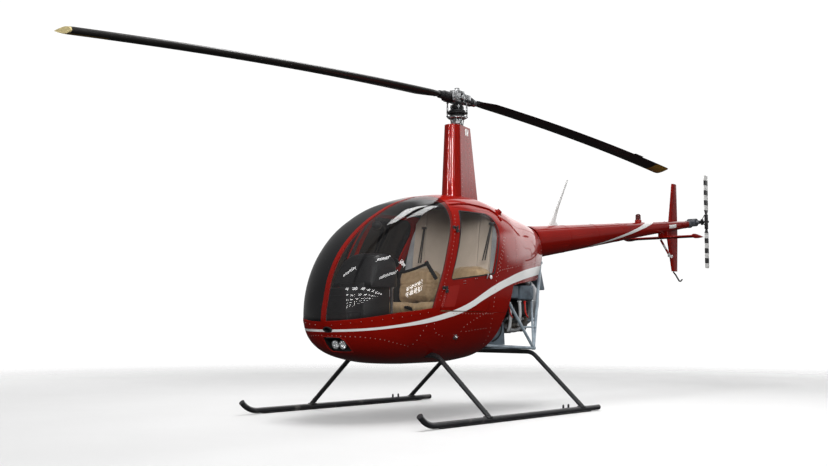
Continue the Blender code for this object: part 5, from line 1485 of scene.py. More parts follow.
fan_blades.transform(Matrix.Translation((FAN_X, 0, FAN_Z)) @ Matrix.Rotation(math.pi / 2, 4, "Y")
    @ Matrix.Translation((0, 0, 0.074)))
wheel = turned(((0.0, 0.025), (0.055, 0.025), (0.066, 0.03), (0.14, 0.098), (0.205, 0.106),
    (0.205, 0.110), (0.140, 0.1125), (0.062, 0.1376), (0.0, 0.1376)), (FAN_X, 0, FAN_Z), "X", 56)
piece("fan_rotor", [wheel, fan_blades], cast_metal, "fan_wheel")

# Exhaust. Four steel pipes into two silencers along the engine's underside, browned by heat, with a
# bright collector pipe along the left side.
pipes = []
for side in (1, -1):
    for x, lean in ((-0.27, -0.05), (-0.5, -0.03)):
        route = [(x - 0.016, side * 0.335, 0.778), (x - 0.02, side * 0.335, 0.75),
            (x - 0.03, side * 0.332, 0.715), (x + lean, side * 0.296, 0.655),
            (x + lean, side * 0.25, 0.68), (x + lean, side * 0.19, 0.69)]
        pipes.append(tube(route, 0.0205, 20, smooth=True))
        pipes.append(rod((x - 0.016, side * 0.335, 0.782), (x - 0.018, side * 0.335, 0.772), 0.031, 6,
            bevel=0.002))
for side in (1, -1):
    can = turned(((0.0, 0.0), (0.03, 0.0), (0.0385, 0.008), (0.04, 0.018), (0.04, 0.352),
        (0.0385, 0.362), (0.03, 0.37), (0.0, 0.37)), sides=40)
    can.transform(Matrix.Translation((-0.700, side * 0.190, 0.690)) @ Matrix.Rotation(math.pi / 2, 4, "Y"))
    pipes.append(can)
    for x in (-0.62, -0.51, -0.4):
        pipes.append(rod((x - 0.006, side * 0.19, 0.69), (x + 0.006, side * 0.19, 0.69), 0.0412, 40,
            bevel=0.001))
pipes.append(rod((-0.66, -0.155, 0.685), (-0.66, 0.155, 0.685), 0.026, 28))
collector = [(-0.29, 0.292, 0.7), (-0.32, 0.298, 0.672), (-0.375, 0.3, 0.657), (-0.461, 0.298, 0.665),
    (-0.567, 0.288, 0.712), (-0.64, 0.262, 0.752), (-0.672, 0.215, 0.74), (-0.69, 0.19, 0.7)]
piece("exhaust_pipes", pipes, burnt_steel, "exhaust")
piece("collector", tube(collector, 0.017, 24, smooth=True), spun_aluminium)

# Air box. A riveted sheet-metal filter box on the firewall, with a ribbed air hose and a fuel line. The
# box is painted grey-blue, the hose and line are rubber.
box_side = [(-0.23, 0.543), (0.0846, 0.543), (0.0426, 0.734), (-0.215, 0.734)]
air_box_mesh = eased(prism(box_side, 0.135, 0.33), 0.006)
piece("filter_box", air_box_mesh, grey_blue, "air_box")
hose_route = [(-0.18, 0.235, 0.725), (-0.19, 0.235, 0.752), (-0.2, 0.215, 0.765),
    (-0.215, 0.175, 0.76), (-0.23, 0.125, 0.75)]
hose = tube(hose_route, 0.026, 20, smooth=True)
hose_rings = []
for part in np.linspace(0.05, 0.95, 14):
    at = part * (len(hose_route) - 1)
    k = min(int(at), len(hose_route) - 2)
    spot = Vector(hose_route[k]).lerp(Vector(hose_route[k + 1]), at - k)
    way = (Vector(hose_route[k + 1]) - Vector(hose_route[k])).normalized()
    hose_rings.append(rod(spot - way * 0.002, spot + way * 0.002, 0.028, 20))
fuel_lines = [tube([(-0.145, 0.318, 0.78), (-0.15, 0.35, 0.74), (-0.16, 0.352, 0.66),
    (-0.13, 0.34, 0.6), (-0.05, 0.335, 0.575)], 0.006, 12, smooth=True)]
piece("hoses", [hose, *hose_rings, *fuel_lines], black_rubber)

# Engine frame. Welded steel tube, painted blue-grey, that hangs the engine from the firewall and carries
# the tail. A ribbed sheet-metal duct stands behind its uprights.
CORNER = (-0.474, 0.45, 0.5139)
TAIL_JOINT = (-1.007, 0.165, 1.27)
TUBE_RADIUS = 0.0125
links = ((CORNER, TAIL_JOINT, 1.15), (CORNER, (0.03, 0.443, 1.066), 1.0),
    (CORNER, (0.110, 0.330, 0.545), 1.0), (CORNER, (0.130, 0.100, 0.5175), 0.8),
    (CORNER, (-0.700, 0.270, 1.075), 0.8), ((-0.637, 0.362, 0.750), (-0.560, 0.060, 0.735), 0.7),
    ((-0.408, 0.4, 0.691), (-0.6, 0.392, 0.691), 0.6))
frame_parts = []
for start_point, end_point, scale in links:
    for side in (1, -1):
        ends = [Vector((x, side * y, z)) for x, y, z in (start_point, end_point)]
        while ends[1].x > np.interp(ends[1].z, [z for _, z in FIREWALL], [x for x, _ in FIREWALL]) - 0.004:
            ends[1] = ends[1].lerp(ends[0], 0.004)
        frame_parts.append(rod(*ends, TUBE_RADIUS * scale, 24))
        way = (ends[1] - ends[0]).normalized()
        frame_parts.append(rod(ends[0] + way * 0.014, ends[0] + way * 0.02, TUBE_RADIUS * scale + 0.002,
            24, TUBE_RADIUS * scale + 0.0004))
for (x, y, z), past, scale in ((CORNER, 0.01, 1.0), (TAIL_JOINT, 0.005, 1.15)):
    frame_parts.append(rod((x, -y - past, z), (x, y + past, z), TUBE_RADIUS * scale, 24, bevel=0.001))
    for side in (1, -1):
        frame_parts.append(rod((x, side * (y - 0.016), z), (x, side * (y + 0.016), z),
            TUBE_RADIUS * scale + 0.003, 24, bevel=0.0025))
piece("engine_mount", frame_parts, frame_enamel, "engine_frame")
duct_rings = [[(-1.0345, -0.1, 1.345), (-1.0345, 0.1, 1.345), (-1.1, 0.085, 1.345),
    (-1.100, -0.085, 1.345)], [(-1.0345, -0.135, 1.025), (-1.0345, 0.135, 1.025), (-1.150, 0.120, 1.025),
    (-1.15, -0.12, 1.025)]]
duct = eased(loft(duct_rings), 0.01)
duct_ribs = [block((-1.128 + 0.03 * step, -0.127 + 0.008 * step, 1.05 + 0.1 * step),
    (-1.034, 0.127 - 0.008 * step, 1.056 + 0.1 * step), 0.002) for step in range(3)]
piece("duct_shell", [duct, *duct_ribs], grey_blue, "tail_duct")

# Mast fairing. A riveted teardrop housing round the mast, in the body's red. It is drawn from aluminium
# sheet, which leaves faint upright waves in its flanks.
def teardrop(z, centre_x, nose_radius, tail_x, count=20):
    """One level of the fairing: a round nose with straight flanks that meet at the rear edge."""
    lean = math.asin((nose_radius - 0.006) / (centre_x - tail_x))
    points = []
    for angle in np.linspace(-(math.pi / 2 + lean), math.pi / 2 + lean, 2 * count + 1):
        points.append((centre_x + nose_radius * math.cos(angle), nose_radius * math.sin(angle), z))
    return [*points, (tail_x, 0.006, z), (tail_x, -0.006, z)]


FAIRING_LEVELS = ((1.66, 0.072, 0.093, -0.3), (2.41, 0.06, 0.07, -0.174))
fairing_rings = []
for part in np.linspace(0.0, 1.0, 16):
    low_level, high_level = (np.array(level) for level in FAIRING_LEVELS)
    fairing_rings.append(teardrop(*(low_level + (high_level - low_level) * part)))


def bare_plate(start, along, across, up):
    """A small blank plate with a gap in it, high on the fairing's left flank."""
    inside = (up > 2.335) * (up < 2.392) * (along - MAST_X > -0.128) * (along - MAST_X <
        -0.062) * (across > 0.0)
    return inside * (1.0 - (along - MAST_X > -0.1) * (along - MAST_X < -0.09))


fairing_paint = red_enamel("fairing_red", bare_plate)
drawn = fairing_paint.noise(1.0, 4.0, stretch=(26.0, 26.0, 0.7))
on_flank = fairing_paint.start.axes()[0].step(MAST_X + 0.045, MAST_X + 0.025)
fairing_paint.bump(drawn * on_flank + fairing_paint.noise(55.0, 2.0) * 0.02, 0.014, 0.75)
fairing = loft(fairing_rings)
trimmed = cut(fairing, [("DIFFERENCE", loft([body_ring(x, 60, -0.0004)
    for x in np.linspace(-0.5, 0.3, 60)]))])
fairing_piece = piece("fairing_shell", trimmed, fairing_paint, "mast_fairing")
fairing_rows = []
for side in (1, -1):
    for back in (0.06, 0.7):
        row = []
        for part in np.linspace(0.14, 0.97, 12):
            z, centre_x, nose_radius, tail_x = np.array(FAIRING_LEVELS[0]) * (1
                - part) + np.array(FAIRING_LEVELS[1]) * part
            lean = math.asin((nose_radius - 0.006) / (centre_x - tail_x))
            way = Vector((-math.sin(lean), math.cos(lean)))
            flank = Vector((centre_x, 0.0)) + way * (nose_radius + 0.0004)
            spot = flank.lerp(Vector((tail_x, 0.006)), back)
            row.append((Vector((spot.x, side * spot.y, z)), Vector((way.x, side * way.y, 0.0))))
        fairing_rows.append(row)
piece("fairing_rivets", heads.run(lines_mesh(fairing_rows), Pitch=0.036), rivet_head, smooth=20.0)

# Swashplate and mast. A turned mast in black steel through the bright rings of the swashplate, with a
# rubber seal, a bolted flange and four short steel links above them.
HUB_Z = 2.649
swash = [turned(((0.036, 2.4104), (0.055, 2.4104), (0.056, 2.42), (0.05, 2.426), (0.042, 2.43),
    (0.042, 2.470), (0.036, 2.472))), turned(((0.036, 2.4725), (0.076, 2.4725), (0.0805, 2.477),
    (0.0805, 2.487), (0.076, 2.491), (0.036, 2.491)))]
for angle in np.linspace(0.2, math.tau + 0.2, 7, endpoint=False):
    way = Vector((math.cos(angle), math.sin(angle), 0.0))
    lean = Vector((-way.y, way.x, 0.0)) * 0.012
    swash.append(rod(way * 0.049 + Vector((0, 0, 2.418)), way * 0.06 + lean + Vector((0, 0, 2.474)),
        0.0052, 12))
    swash.append(rod(way * 0.0655 + Vector((0, 0, 2.4915)), way * 0.0655 + Vector((0, 0, 2.4945)), 0.0042, 6))
piece("swashplate_rings", swash, steel, "swashplate")
boot_black = turned(((0.037, 2.4915), (0.058, 2.4915), (0.0615, 2.495), (0.0615, 2.508), (0.058, 2.512),
    (0.037, 2.512)))
piece("swashplate_seal", boot_black, black_rubber)
mast_parts = [turned(((0.0, 2.4104), (0.0295, 2.4104), (0.0295, 2.513), (0.077, 2.513), (0.0825, 2.517),
    (0.0825, 2.523), (0.077, 2.526), (0.066, 2.527), (0.066, 2.530), (0.0705, 2.533), (0.0705, 2.542),
    (0.064, 2.547), (0.040, 2.548), (0.030, 2.5495), (0.030, 2.596), (0.0285, 2.6036), (0.0, 2.6036)),
    sides=56)]
for angle in np.linspace(0.0, math.tau, 10, endpoint=False):
    spot = Vector((math.cos(angle), math.sin(angle), 0.0)) * 0.056
    mast_parts.append(rod((spot.x, spot.y, 2.5465), (spot.x, spot.y, 2.5512), 0.0048, 6, bevel=0.0006))
mast_parts.append(turned(((0.0298, 2.552), (0.046, 2.552), (0.05, 2.558), (0.046, 2.566), (0.05, 2.574),
    (0.046, 2.582), (0.046, 2.594), (0.037, 2.597), (0.0298, 2.597)), sides=40))
for side in (1, -1):
    arm = block((0.03, -0.012, 2.515), (0.092, 0.012, 2.534), 0.004)
    arm.transform(Matrix.Rotation(math.atan2(-side * 0.052, side * 0.062) + math.radians(1.93), 4, "Z"))
    mast_parts.append(arm)
piece("mast_and_drive", mast_parts, black_steel, "rotor_mast", body="main_rotor")
scissor_parts = []
for turn_by in (0.9, 2.6, 4.2, 5.6):
    way = Vector((math.cos(turn_by), math.sin(turn_by), 0.0))
    scissor_parts.append(rod(way * 0.052 + Vector((0, 0, 2.549)), way * 0.054 + Vector((0, 0, 2.59)),
        0.0058, 12, bevel=0.001))
    scissor_parts.append(rod(way * 0.045 + Vector((0, 0, 2.57)), way * 0.061 + Vector((0, 0, 2.57)),
        0.0085, 16, bevel=0.0015))
piece("scissor_links", scissor_parts, steel, body="main_rotor")

# Rotor head. A machined steel hub that teeters on one bolt, with two coning bolts, spindles in black
# boots, pitch horns and their links.
ROTOR_TURN = math.radians(1.93)
parked = Matrix.Rotation(ROTOR_TURN, 4, "Z")


def on_rotor(mesh):
    mesh.transform(parked)
    return mesh


yoke = [block((-0.06, -0.045, HUB_Z + 0.034), (0.06, 0.045, HUB_Z + 0.07), 0.014, 3),
        block((-0.075, -0.034, HUB_Z - 0.045), (0.075, 0.034, HUB_Z + 0.042), 0.014, 3),
        rod((0, 0, HUB_Z + 0.04), (0, 0, HUB_Z + 0.052), 0.046, 8, 0.04, bevel=0.003),
        rod((0, 0, HUB_Z + 0.03), (0, 0, HUB_Z + 0.091), 0.03, 40, 0.022, bevel=0.003),
        rod((0, 0, HUB_Z + 0.088), (0, 0, HUB_Z + 0.0905), 0.012, 6, bevel=0.0008),
        rod((0, -0.072, HUB_Z), (0, 0.072, HUB_Z), 0.018, 32, bevel=0.003),
        rod((0, -0.069, HUB_Z), (0, -0.0725, HUB_Z), 0.012, 6, bevel=0.001),
        rod((0, 0.069, HUB_Z), (0, 0.0725, HUB_Z), 0.012, 6, bevel=0.001)]
boots = []
for side in (1, -1):
    yoke.append(rod((side * 0.048, 0, HUB_Z), (side * 0.059, 0, HUB_Z), 0.056, 48, bevel=0.003))
    yoke.append(rod((side * 0.062, -0.058, HUB_Z + 0.002), (side * 0.062, 0.058, HUB_Z + 0.002), 0.014, 28,
        bevel=0.0025))
    (boots if side > 0 else yoke).append(rod((side * 0.205, 0, HUB_Z), (side * 0.255, 0, HUB_Z - 0.002),
        0.0338, 40, 0.0332, bevel=0.003))
    boots.append(block((min(side * 0.045, side * 0.135), min(0, -side * 0.07), HUB_Z - 0.03),
                      (max(side * 0.045, side * 0.135), max(0, -side * 0.07), HUB_Z - 0.006), 0.006, 3))
    for cheek_y in (-0.054, 0.042):
        cheek_x = sorted((side * 0.022, side * 0.128))
        yoke.append(block((cheek_x[0], cheek_y, HUB_Z - 0.04),
            (cheek_x[1], cheek_y + 0.012, HUB_Z + 0.04), 0.004, 3))
        yoke.append(rod((side * 0.088, cheek_y - 0.004, HUB_Z), (side * 0.088, cheek_y + 0.016, HUB_Z),
            0.036, 32, bevel=0.004))
    for angle in np.linspace(0.0, math.tau, 8, endpoint=False):
        spot = Vector((side * 0.2555, 0.026 * math.cos(angle), HUB_Z - 0.002 + 0.026 * math.sin(angle)))
        (boots if side > 0 else yoke).append(rod(spot, spot + Vector((side * 0.0018, 0, 0)), 0.0035, 6))
    folds_profile = []
    for step in range(9):
        folds_profile.append((0.0415 if step % 2 else 0.037, 0.06 + step * 0.018))
    boot = turned([(0.0, 0.058), *folds_profile, (0.0, 0.206)], sides=36)
    boot.transform(Matrix.Translation((0, 0, HUB_Z)) @ Matrix.Rotation(side * math.pi / 2, 4, "Y"))
    boots.append(boot)
piece("hub_yoke", on_rotor(joined(yoke)), steel, "rotor_hub", body="main_rotor")
piece("spindle_boots", on_rotor(joined(boots)), black_rubber, body="main_rotor")
LINK_LOW_Z, LINK_HIGH_Z = 2.476, 2.6186
for name, side in (("front", 1), ("rear", -1)):
    foot = Vector((side * 0.065, -side * 0.056, LINK_LOW_Z))
    head = Vector((side * 0.064, -side * 0.055, LINK_HIGH_Z))
    link = [rod(foot, head, 0.0052, 16), rod(foot.lerp(head, 0.28), foot.lerp(head, 0.72), 0.008, 6,
        bevel=0.0008), rod(foot.lerp(head, 0.22), foot.lerp(head, 0.27), 0.0074, 6, bevel=0.0006),
        rod(foot.lerp(head, 0.73), foot.lerp(head, 0.78), 0.0074, 6, bevel=0.0006)]
    for end in (foot.lerp(head, 0.1), foot.lerp(head, 0.9)):
        link.append(rod(end - Vector((0.0075, 0, 0)), end + Vector((0.0075, 0, 0)), 0.0078, 20, bevel=0.0015))
    piece(f"link_{name}", on_rotor(joined(link)), steel, f"pitch_link_{name}",
        body="main_rotor")

# Main blades. A stainless spar and skins over a honeycomb core, satin black, with a yellow tip below, a
# bonded seam along the spar, an abrasion strip along the nose, a bare end cap and one trim tab. The cap's
# pale gold is partly a painted highlight of the lit tip.
ROTOR_RADIUS = 3.835
ROOT_CHORD = 0.105
BLADE_CHORD = 0.183
BLADE_SAG = (0.078, 0.142)
BLADE_PITCH = (math.radians(2.0), math.radians(-6.5))


def blade_section(chord, thickness, pitch=0.0):
    """Ring of (along, height) pairs round a symmetric section, whose nose is a quarter chord ahead."""
    parts = [1.0, 0.9, 0.8, 0.68, 0.55, 0.42, 0.3, 0.2, 0.12, 0.07, 0.03, 0.01, 0.0]
    upper = []
    for part in parts:
        half = 5 * thickness * (0.2969 * math.sqrt(part) - 0.126 * part - 0.3516 * part ** 2 + 0.2843
            * part ** 3 - 0.1036 * part ** 4)
        upper.append(((0.25 - part) * chord, max(half, 0.0012) if part else 0.0))
    ring = upper + [(along, -height) for along, height in reversed(upper[:-1])]
    cosine, sine = math.cos(pitch), math.sin(pitch)
    return [(along * cosine - height * sine, along * sine + height * cosine) for along, height in ring]


def blade_height(out):
    part = out / ROTOR_RADIUS
    return HUB_Z + 0.006 - BLADE_SAG[0] * part - BLADE_SAG[1] * part ** 2


def blade_pitch(out):
    return BLADE_PITCH[0] + (BLADE_PITCH[1] - BLADE_PITCH[0]) * out / ROTOR_RADIUS


def smooth_stations(table, spacing):
    """Adds stations between those of a table, so that nothing is further apart than the spacing."""
    made = [table[0]]
    for low_row, high_row in zip(table[:-1], table[1:]):
        count = max(int(math.ceil((high_row[0] - low_row[0]) / spacing)), 1)
        for step in range(1, count + 1):
            part = step / count
            made.append(tuple(a + (b - a) * part for a, b in zip(low_row, high_row)))
    return made


BLADE_STATIONS = ((0.2605, ROOT_CHORD, 0.044), (0.295, 0.125, 0.046), (0.35, 0.16, 0.0475),
    (0.400, BLADE_CHORD, 0.048), (3.785, BLADE_CHORD, 0.048), (3.818, 0.176, 0.0462),
    (3.835, 0.1647, 0.0432))
TAB_REACH = (2.99, 3.17)
blade_black = Finish("blade_black", (0.010, 0.010, 0.011), 0.42, 0.0, Specular_IOR_Level=0.3)
start = blade_black.start
along, across, up = start.axes()
angle_cos, angle_sin = math.cos(ROTOR_TURN), math.sin(ROTOR_TURN)
out_along = (along - MAST_X) * angle_cos + across * angle_sin
sideways = across * angle_cos - (along - MAST_X) * angle_sin
blade_reach = out_along.math("ABSOLUTE")
chordwise = sideways * out_along.math("SIGN")
part_out = blade_reach / ROTOR_RADIUS
droop = HUB_Z + 0.006 - part_out * BLADE_SAG[0] - part_out * part_out * BLADE_SAG[1]
tilt = part_out * (BLADE_PITCH[1] - BLADE_PITCH[0]) + BLADE_PITCH[0]
below = (up - droop - chordwise * tilt).step(-0.004, 0.0)
below = 1.0 - below
tip_paint = (blade_reach > ROTOR_RADIUS - 0.285) * (blade_reach < ROTOR_RADIUS - 0.012)
nose_strip = chordwise > 0.25 * BLADE_CHORD - 0.026
yellow = tip_paint * below * (1.0 - nose_strip)
# The end cap is drawn pale gold: partly its bare finish, partly a painted highlight of the lit tip.
cap = blade_reach > ROTOR_RADIUS - 0.012
streaks = start.noise(6.0, 4.0, stretch=(0.6, 12.0, 12.0))
base = start.blend(streaks.step(0.4, 0.75), (0.007, 0.007, 0.008), (0.017, 0.016, 0.016))
base = start.blend(nose_strip, base, (0.018, 0.017, 0.016))
base = start.blend(yellow, base, (0.42, 0.26, 0.035))
base = start.blend(cap, base, (0.72, 0.6, 0.3))
blade_black.set("Base Color", base)
blade_black.rough(0.34 + streaks * 0.18 - nose_strip * 0.08)
spar_seam = (chordwise - 0.002).math("ABSOLUTE").step(0.0, 0.0022)
blade_black.bump(spar_seam * 0.6 + start.noise(60.0, 3.0) * 0.05, 0.0008, 0.5)
for name, side in (("front", 1), ("rear", -1)):
    rings = []
    for out, chord, thickness in smooth_stations(BLADE_STATIONS, 0.22):
        section = blade_section(chord, thickness, blade_pitch(out))
        rings.append([(side * out, side * forward, blade_height(out) + height)
            for forward, height in section])
    blade = loft(rings)
    tab = []
    for out in TAB_REACH:
        pitch = blade_pitch(out)
        for forward, droop_by in ((-0.75 * BLADE_CHORD + 0.008, 0.0), (-0.75 * BLADE_CHORD - 0.021, -0.001)):
            for height in (0.0008, -0.0008):
                tab.append((side * out, side * forward,
                    blade_height(out) + math.tan(pitch) * forward + height + droop_by))
    bm = bmesh.new()
    made = [bm.verts.new(point) for point in tab]
    bmesh.ops.convex_hull(bm, input=made)
    trim_tab = mesh_from(bm)
    grip_plate = []
    for out in (0.285, 0.325):
        for forward in (-0.03, -0.01, 0.01):
            spot = Vector((side * out, side * forward, blade_height(out)))
            grip_plate.append(rod(spot - Vector((0, 0, 0.0225)), spot + Vector((0, 0, 0.0225)), 0.005, 6,
                bevel=0.0006))
    piece(f"blade_{name}", on_rotor(joined([blade, trim_tab])), blade_black, f"main_blade_{name}",
        body="main_rotor", smooth=40.0)
    piece(f"blade_bolts_{name}", on_rotor(joined(grip_plate)), steel, body="main_rotor")

# Tailcone. Six rolled aluminium bays, riveted to ring frames, that taper from the cowls to the tail
# gearbox. A white swoosh climbs round the rear bays, with a blank white plate behind it.
TAILCONE_SECTIONS = ((-1.0304, 1.459, 0.154), (-2.14, 1.595, 0.1145), (-3.16, 1.721, 0.078),
    (-4.24, 1.847, 0.04))


def cone_at(x):
    xs = [-row[0] for row in TAILCONE_SECTIONS]
    return (np.interp(-x, xs, [row[1] for row in TAILCONE_SECTIONS]),
        np.interp(-x, xs, [row[2] for row in TAILCONE_SECTIONS]))


def cone_ring(x, count=64, grow=0.0):
    z, radius = cone_at(x)
    return [(x, (radius + grow) * math.sin(angle), z + (radius + grow) * math.cos(angle))
        for angle in np.linspace(0, math.tau, count, endpoint=False)]


def cone_tool(front, back):
    """A length of the tailcone, to cut with."""
    return loft([cone_ring(place, 48, 0.0004) for place in (front, back)])


def swoosh(start, along, across, up):
    """A white band that climbs round the cone and widens on its way, and a blank plate behind it."""
    rise = (along - MAST_X) * -1.0 - SWOOSH_START
    height = up - (1.459 + (-1.0304 + MAST_X - along) * 0.1212)
    low_line = rise * 0.0648 + rise * rise * 0.04 - 0.118
    width = rise * 0.027 + 0.006
    band = (height - low_line).step(-0.0015, 0.0015) * (low_line + width - height).step(-0.0015,
        0.0015) * (rise > 0.0)
    plate = ((rise > PLATE_REACH[0]) * (rise < PLATE_REACH[1]) * (across > 0.0)
             * (height < 0.02) * (height > -0.02))
    return band.math("MAXIMUM", band, plate)


SWOOSH_START = 1.92
PLATE_REACH = (1.8, 1.98)
cone_paint = red_enamel("tailcone_red", swoosh)
cone_rings = []
for low_row, high_row in zip(TAILCONE_SECTIONS[:-1], TAILCONE_SECTIONS[1:]):
    for x in np.linspace(low_row[0], high_row[0], 7)[:-1]:
        cone_rings.append(cone_ring(x))
cone_rings.append(cone_ring(TAILCONE_SECTIONS[-1][0]))
cone = evaluated(loft(cone_rings, False), [("SOLIDIFY",
    {"thickness": 0.004, "offset": -1.0, "use_rim": True})])
piece("tailcone_skin", cone, cone_paint, "tailcone")
CONE_SEAMS = (-1.062, -1.6, -2.14, -2.65, -3.16, -3.7, -4.215)
cone_rows = []
for x in CONE_SEAMS:
    for offset in (0.0, -0.018):
        ring = cone_ring(x + offset, 48, 0.0006)
        z = cone_at(x + offset)[0]
        cone_rows.append([(Vector(point), Vector((0.12, point[1], point[2] - z)).normalized())
            for point in [*ring, ring[0]]])
for turn_by in (math.radians(75), math.radians(-75), math.radians(180)):
    line = []
    for x in np.linspace(-1.07, -4.2, 24):
        z, radius = cone_at(x)
        way = Vector((0.0, math.sin(turn_by), math.cos(turn_by)))
        line.append((Vector((x, 0.0, z)) + way * (radius + 0.0004), way))
    cone_rows.append(line)
piece("tailcone_rivets", heads.run(lines_mesh(cone_rows), Pitch=0.030, Radius=0.0030, Height=0.0011),
    cone_paint, smooth=20.0)
bands = []
for x in CONE_SEAMS:
    ring_low, ring_high = cone_ring(x + 0.008, 64, 0.0012), cone_ring(x - 0.026, 64, 0.0012)
    inner_low, inner_high = cone_ring(x + 0.008, 64, -0.001), cone_ring(x - 0.026, 64, -0.001)
    bm = bmesh.new()
    rings = [[bm.verts.new(point) for point in ring] for ring in (inner_low, ring_low, ring_high, inner_high)]
    for near, far in zip(rings, rings[1:] + rings[:1]):
        for k in range(64):
            bm.faces.new([near[k], near[(k + 1) % 64], far[(k + 1) % 64], far[k]])
    bands.append(mesh_from(bm))
piece("tailcone_bands", bands, cone_paint)

# Fin and stabiliser. Thin aluminium surfaces with a rounded leading edge. The fin stands on a bracket at
# the right of the tailcone, and the stabiliser crosses it, closed at each end by a plate.
FIN_Y = -0.082
FIN_SECTIONS = ((1.305, -4.032, -4.164), (1.67, -3.927, -4.182), (1.88, -3.97, -4.182),
    (2.31, -4.06, -4.173))
FIN_THICKNESS = 0.028


def leaf_ring(nose, tail, half, count=14):
    """Outline of a thin surface, as (along, out) pairs: round nose, widest a third back, sharp tail."""
    pairs = []
    for step in range(count + 1):
        part = (1 - math.cos(math.pi * step / count)) / 2
        thick = (2.969 * math.sqrt(part) - 1.26 * part - 3.516 * part ** 2
                 + 2.843 * part ** 3 - 1.036 * part ** 4)
        pairs.append((nose + (tail - nose) * part, half * max(thick, 0.0)))
    pairs[-1] = (tail, half * 0.1)
    return pairs + [(place, -thick) for place, thick in reversed(pairs[1:])]


fin_paint = red_enamel("fin_red")
fin_rings = []
for (low_z, low_nose, low_tail), (high_z, high_nose, high_tail) in zip(FIN_SECTIONS[:-1], FIN_SECTIONS[1:]):
    for part in np.linspace(0, 1, 7)[:-1]:
        fin_rings.append((low_z + (high_z - low_z) * part, low_nose + (high_nose - low_nose) * part,
            low_tail + (high_tail - low_tail) * part))
fin_rings.append(FIN_SECTIONS[-1])
fin_body = loft([[(x, FIN_Y + y, z) for x, y in leaf_ring(nose, tail, FIN_THICKNESS / 2)]
    for z, nose, tail in fin_rings])
bracket = block((-4.15, -0.075, 1.8), (-4.0, -0.03, 1.85), 0.006)
piece("fin", [fin_body, bracket], fin_paint, "vertical_fin", smooth=40.0)
fin_lines = []
for z in (1.42, 1.6, 1.97, 2.14, 2.27):
    zs = [row[0] for row in FIN_SECTIONS]
    nose = np.interp(z, zs, [row[1] for row in FIN_SECTIONS])
    tail = np.interp(z, zs, [row[2] for row in FIN_SECTIONS])
    for side in (1, -1):
        pairs = leaf_ring(nose, tail, FIN_THICKNESS / 2)[2:13]
        fin_lines.append([(Vector((x, FIN_Y + side * abs(y), z)), Vector((0, side, 0))) for x, y in pairs])
piece("fin_rivets", heads.run(lines_mesh(fin_lines), Pitch=0.024, Radius=0.0026, Height=0.001), fin_paint,
    smooth=20.0)
STAB_X = -3.68
STAB_Z = 1.66
STAB_HALF = 0.42
STAB_CHORD = 0.22
stab_paint = red_enamel("stabiliser_red")
stab_rings = []
for y in (-STAB_HALF + 0.0125, 0.0, STAB_HALF - 0.0125):
    front = STAB_X + STAB_CHORD / 2
    pairs = leaf_ring(front, front - STAB_CHORD, 0.015)
    stab_rings.append([(x, y, STAB_Z + z) for x, z in pairs])
stab_parts = [loft(stab_rings)]
for side in (1, -1):
    end_rings = []
    for out, scale, half in ((STAB_HALF - 0.0122, 1.26, 0.022), (STAB_HALF - 0.0085, 1.3, 0.025),
            (STAB_HALF - 0.004, 1.29, 0.023), (STAB_HALF, 1.24, 0.014)):
        front = STAB_X + STAB_CHORD * scale / 2
        end_rings.append([(x, side * out, STAB_Z + z)
            for x, z in leaf_ring(front, front - STAB_CHORD * scale, half)])
    stab_parts.append(loft(end_rings))
for x in (-3.625, -3.72):
    stab_parts.append(cut(block((x - 0.006, -0.03, 1.664), (x + 0.006, 0.03, 1.76), 0.002),
        [("DIFFERENCE", cone_tool(-3.5, -3.9))]))
piece("stabiliser_skin", stab_parts, stab_paint, "stabiliser", smooth=40.0)
stab_lines = []
for y in (-0.33, -0.16, 0.16, 0.33):
    for side in (1, -1):
        pairs = leaf_ring(STAB_X + STAB_CHORD / 2, STAB_X - STAB_CHORD / 2, 0.015)[2:13]
        stab_lines.append([(Vector((x, y, STAB_Z + side * abs(z))), Vector((0, 0, side))) for x, z in pairs])
piece("stabiliser_rivets", heads.run(lines_mesh(stab_lines), Pitch=0.024, Radius=0.0026, Height=0.001),
    stab_paint, smooth=20.0)

# Tail guard and tail skid. A guard tube banded in red and white from the stabiliser to the fin, and a
# bent spring wire below the fin.
GUARD_START = Vector((-3.705, -0.04, 1.6386))
GUARD_END = Vector((-3.935, -0.04, 1.45))
guard_paint = Finish("banded_enamel", (0.80, 0.80, 0.79), 0.3, 0.0, Coat_Weight=0.6, Coat_Roughness=0.06)
start = guard_paint.start
along, across, up = start.axes()
bands = (GUARD_START.z - up) / (GUARD_START.z - GUARD_END.z) * 4.0
is_red = bands.math("MODULO", bands, 2.0) < 1.0
chips = start.noise(60.0, 4.0)
guard_paint.tone(is_red, start.blend(chips.step(0.5, 0.7), (0.8, 0.8, 0.79), (0.68, 0.67, 0.64)),
    (0.36, 0.012, 0.008))
guard_paint.rough(0.26 + chips * 0.2)
guard_mesh = joined([tube([GUARD_START, GUARD_START.lerp(GUARD_END, 0.5), GUARD_END], 0.013, 24),
    turned(((0.0, -0.004), (0.0135, -0.004), (0.0145, 0.002), (0.013, 0.006), (0.0, 0.006)), GUARD_END)])
clip = block((-3.99, FIN_Y + 0.0145, 1.462), (-3.905, -0.04, 1.486), 0.003)
piece("tail_guard_tube", [guard_mesh, clip], guard_paint, "tail_guard")
SKID_WIRE = ((-4.071, FIN_Y, 1.2973), (-4.13, FIN_Y, 1.262), (-4.208, FIN_Y, 1.2),
    (-4.24, FIN_Y, 1.196), (-4.281, FIN_Y, 1.218))
wire = tube(SKID_WIRE, 0.0088, 16)
piece("tail_skid_wire", wire, black_steel, "tail_skid")

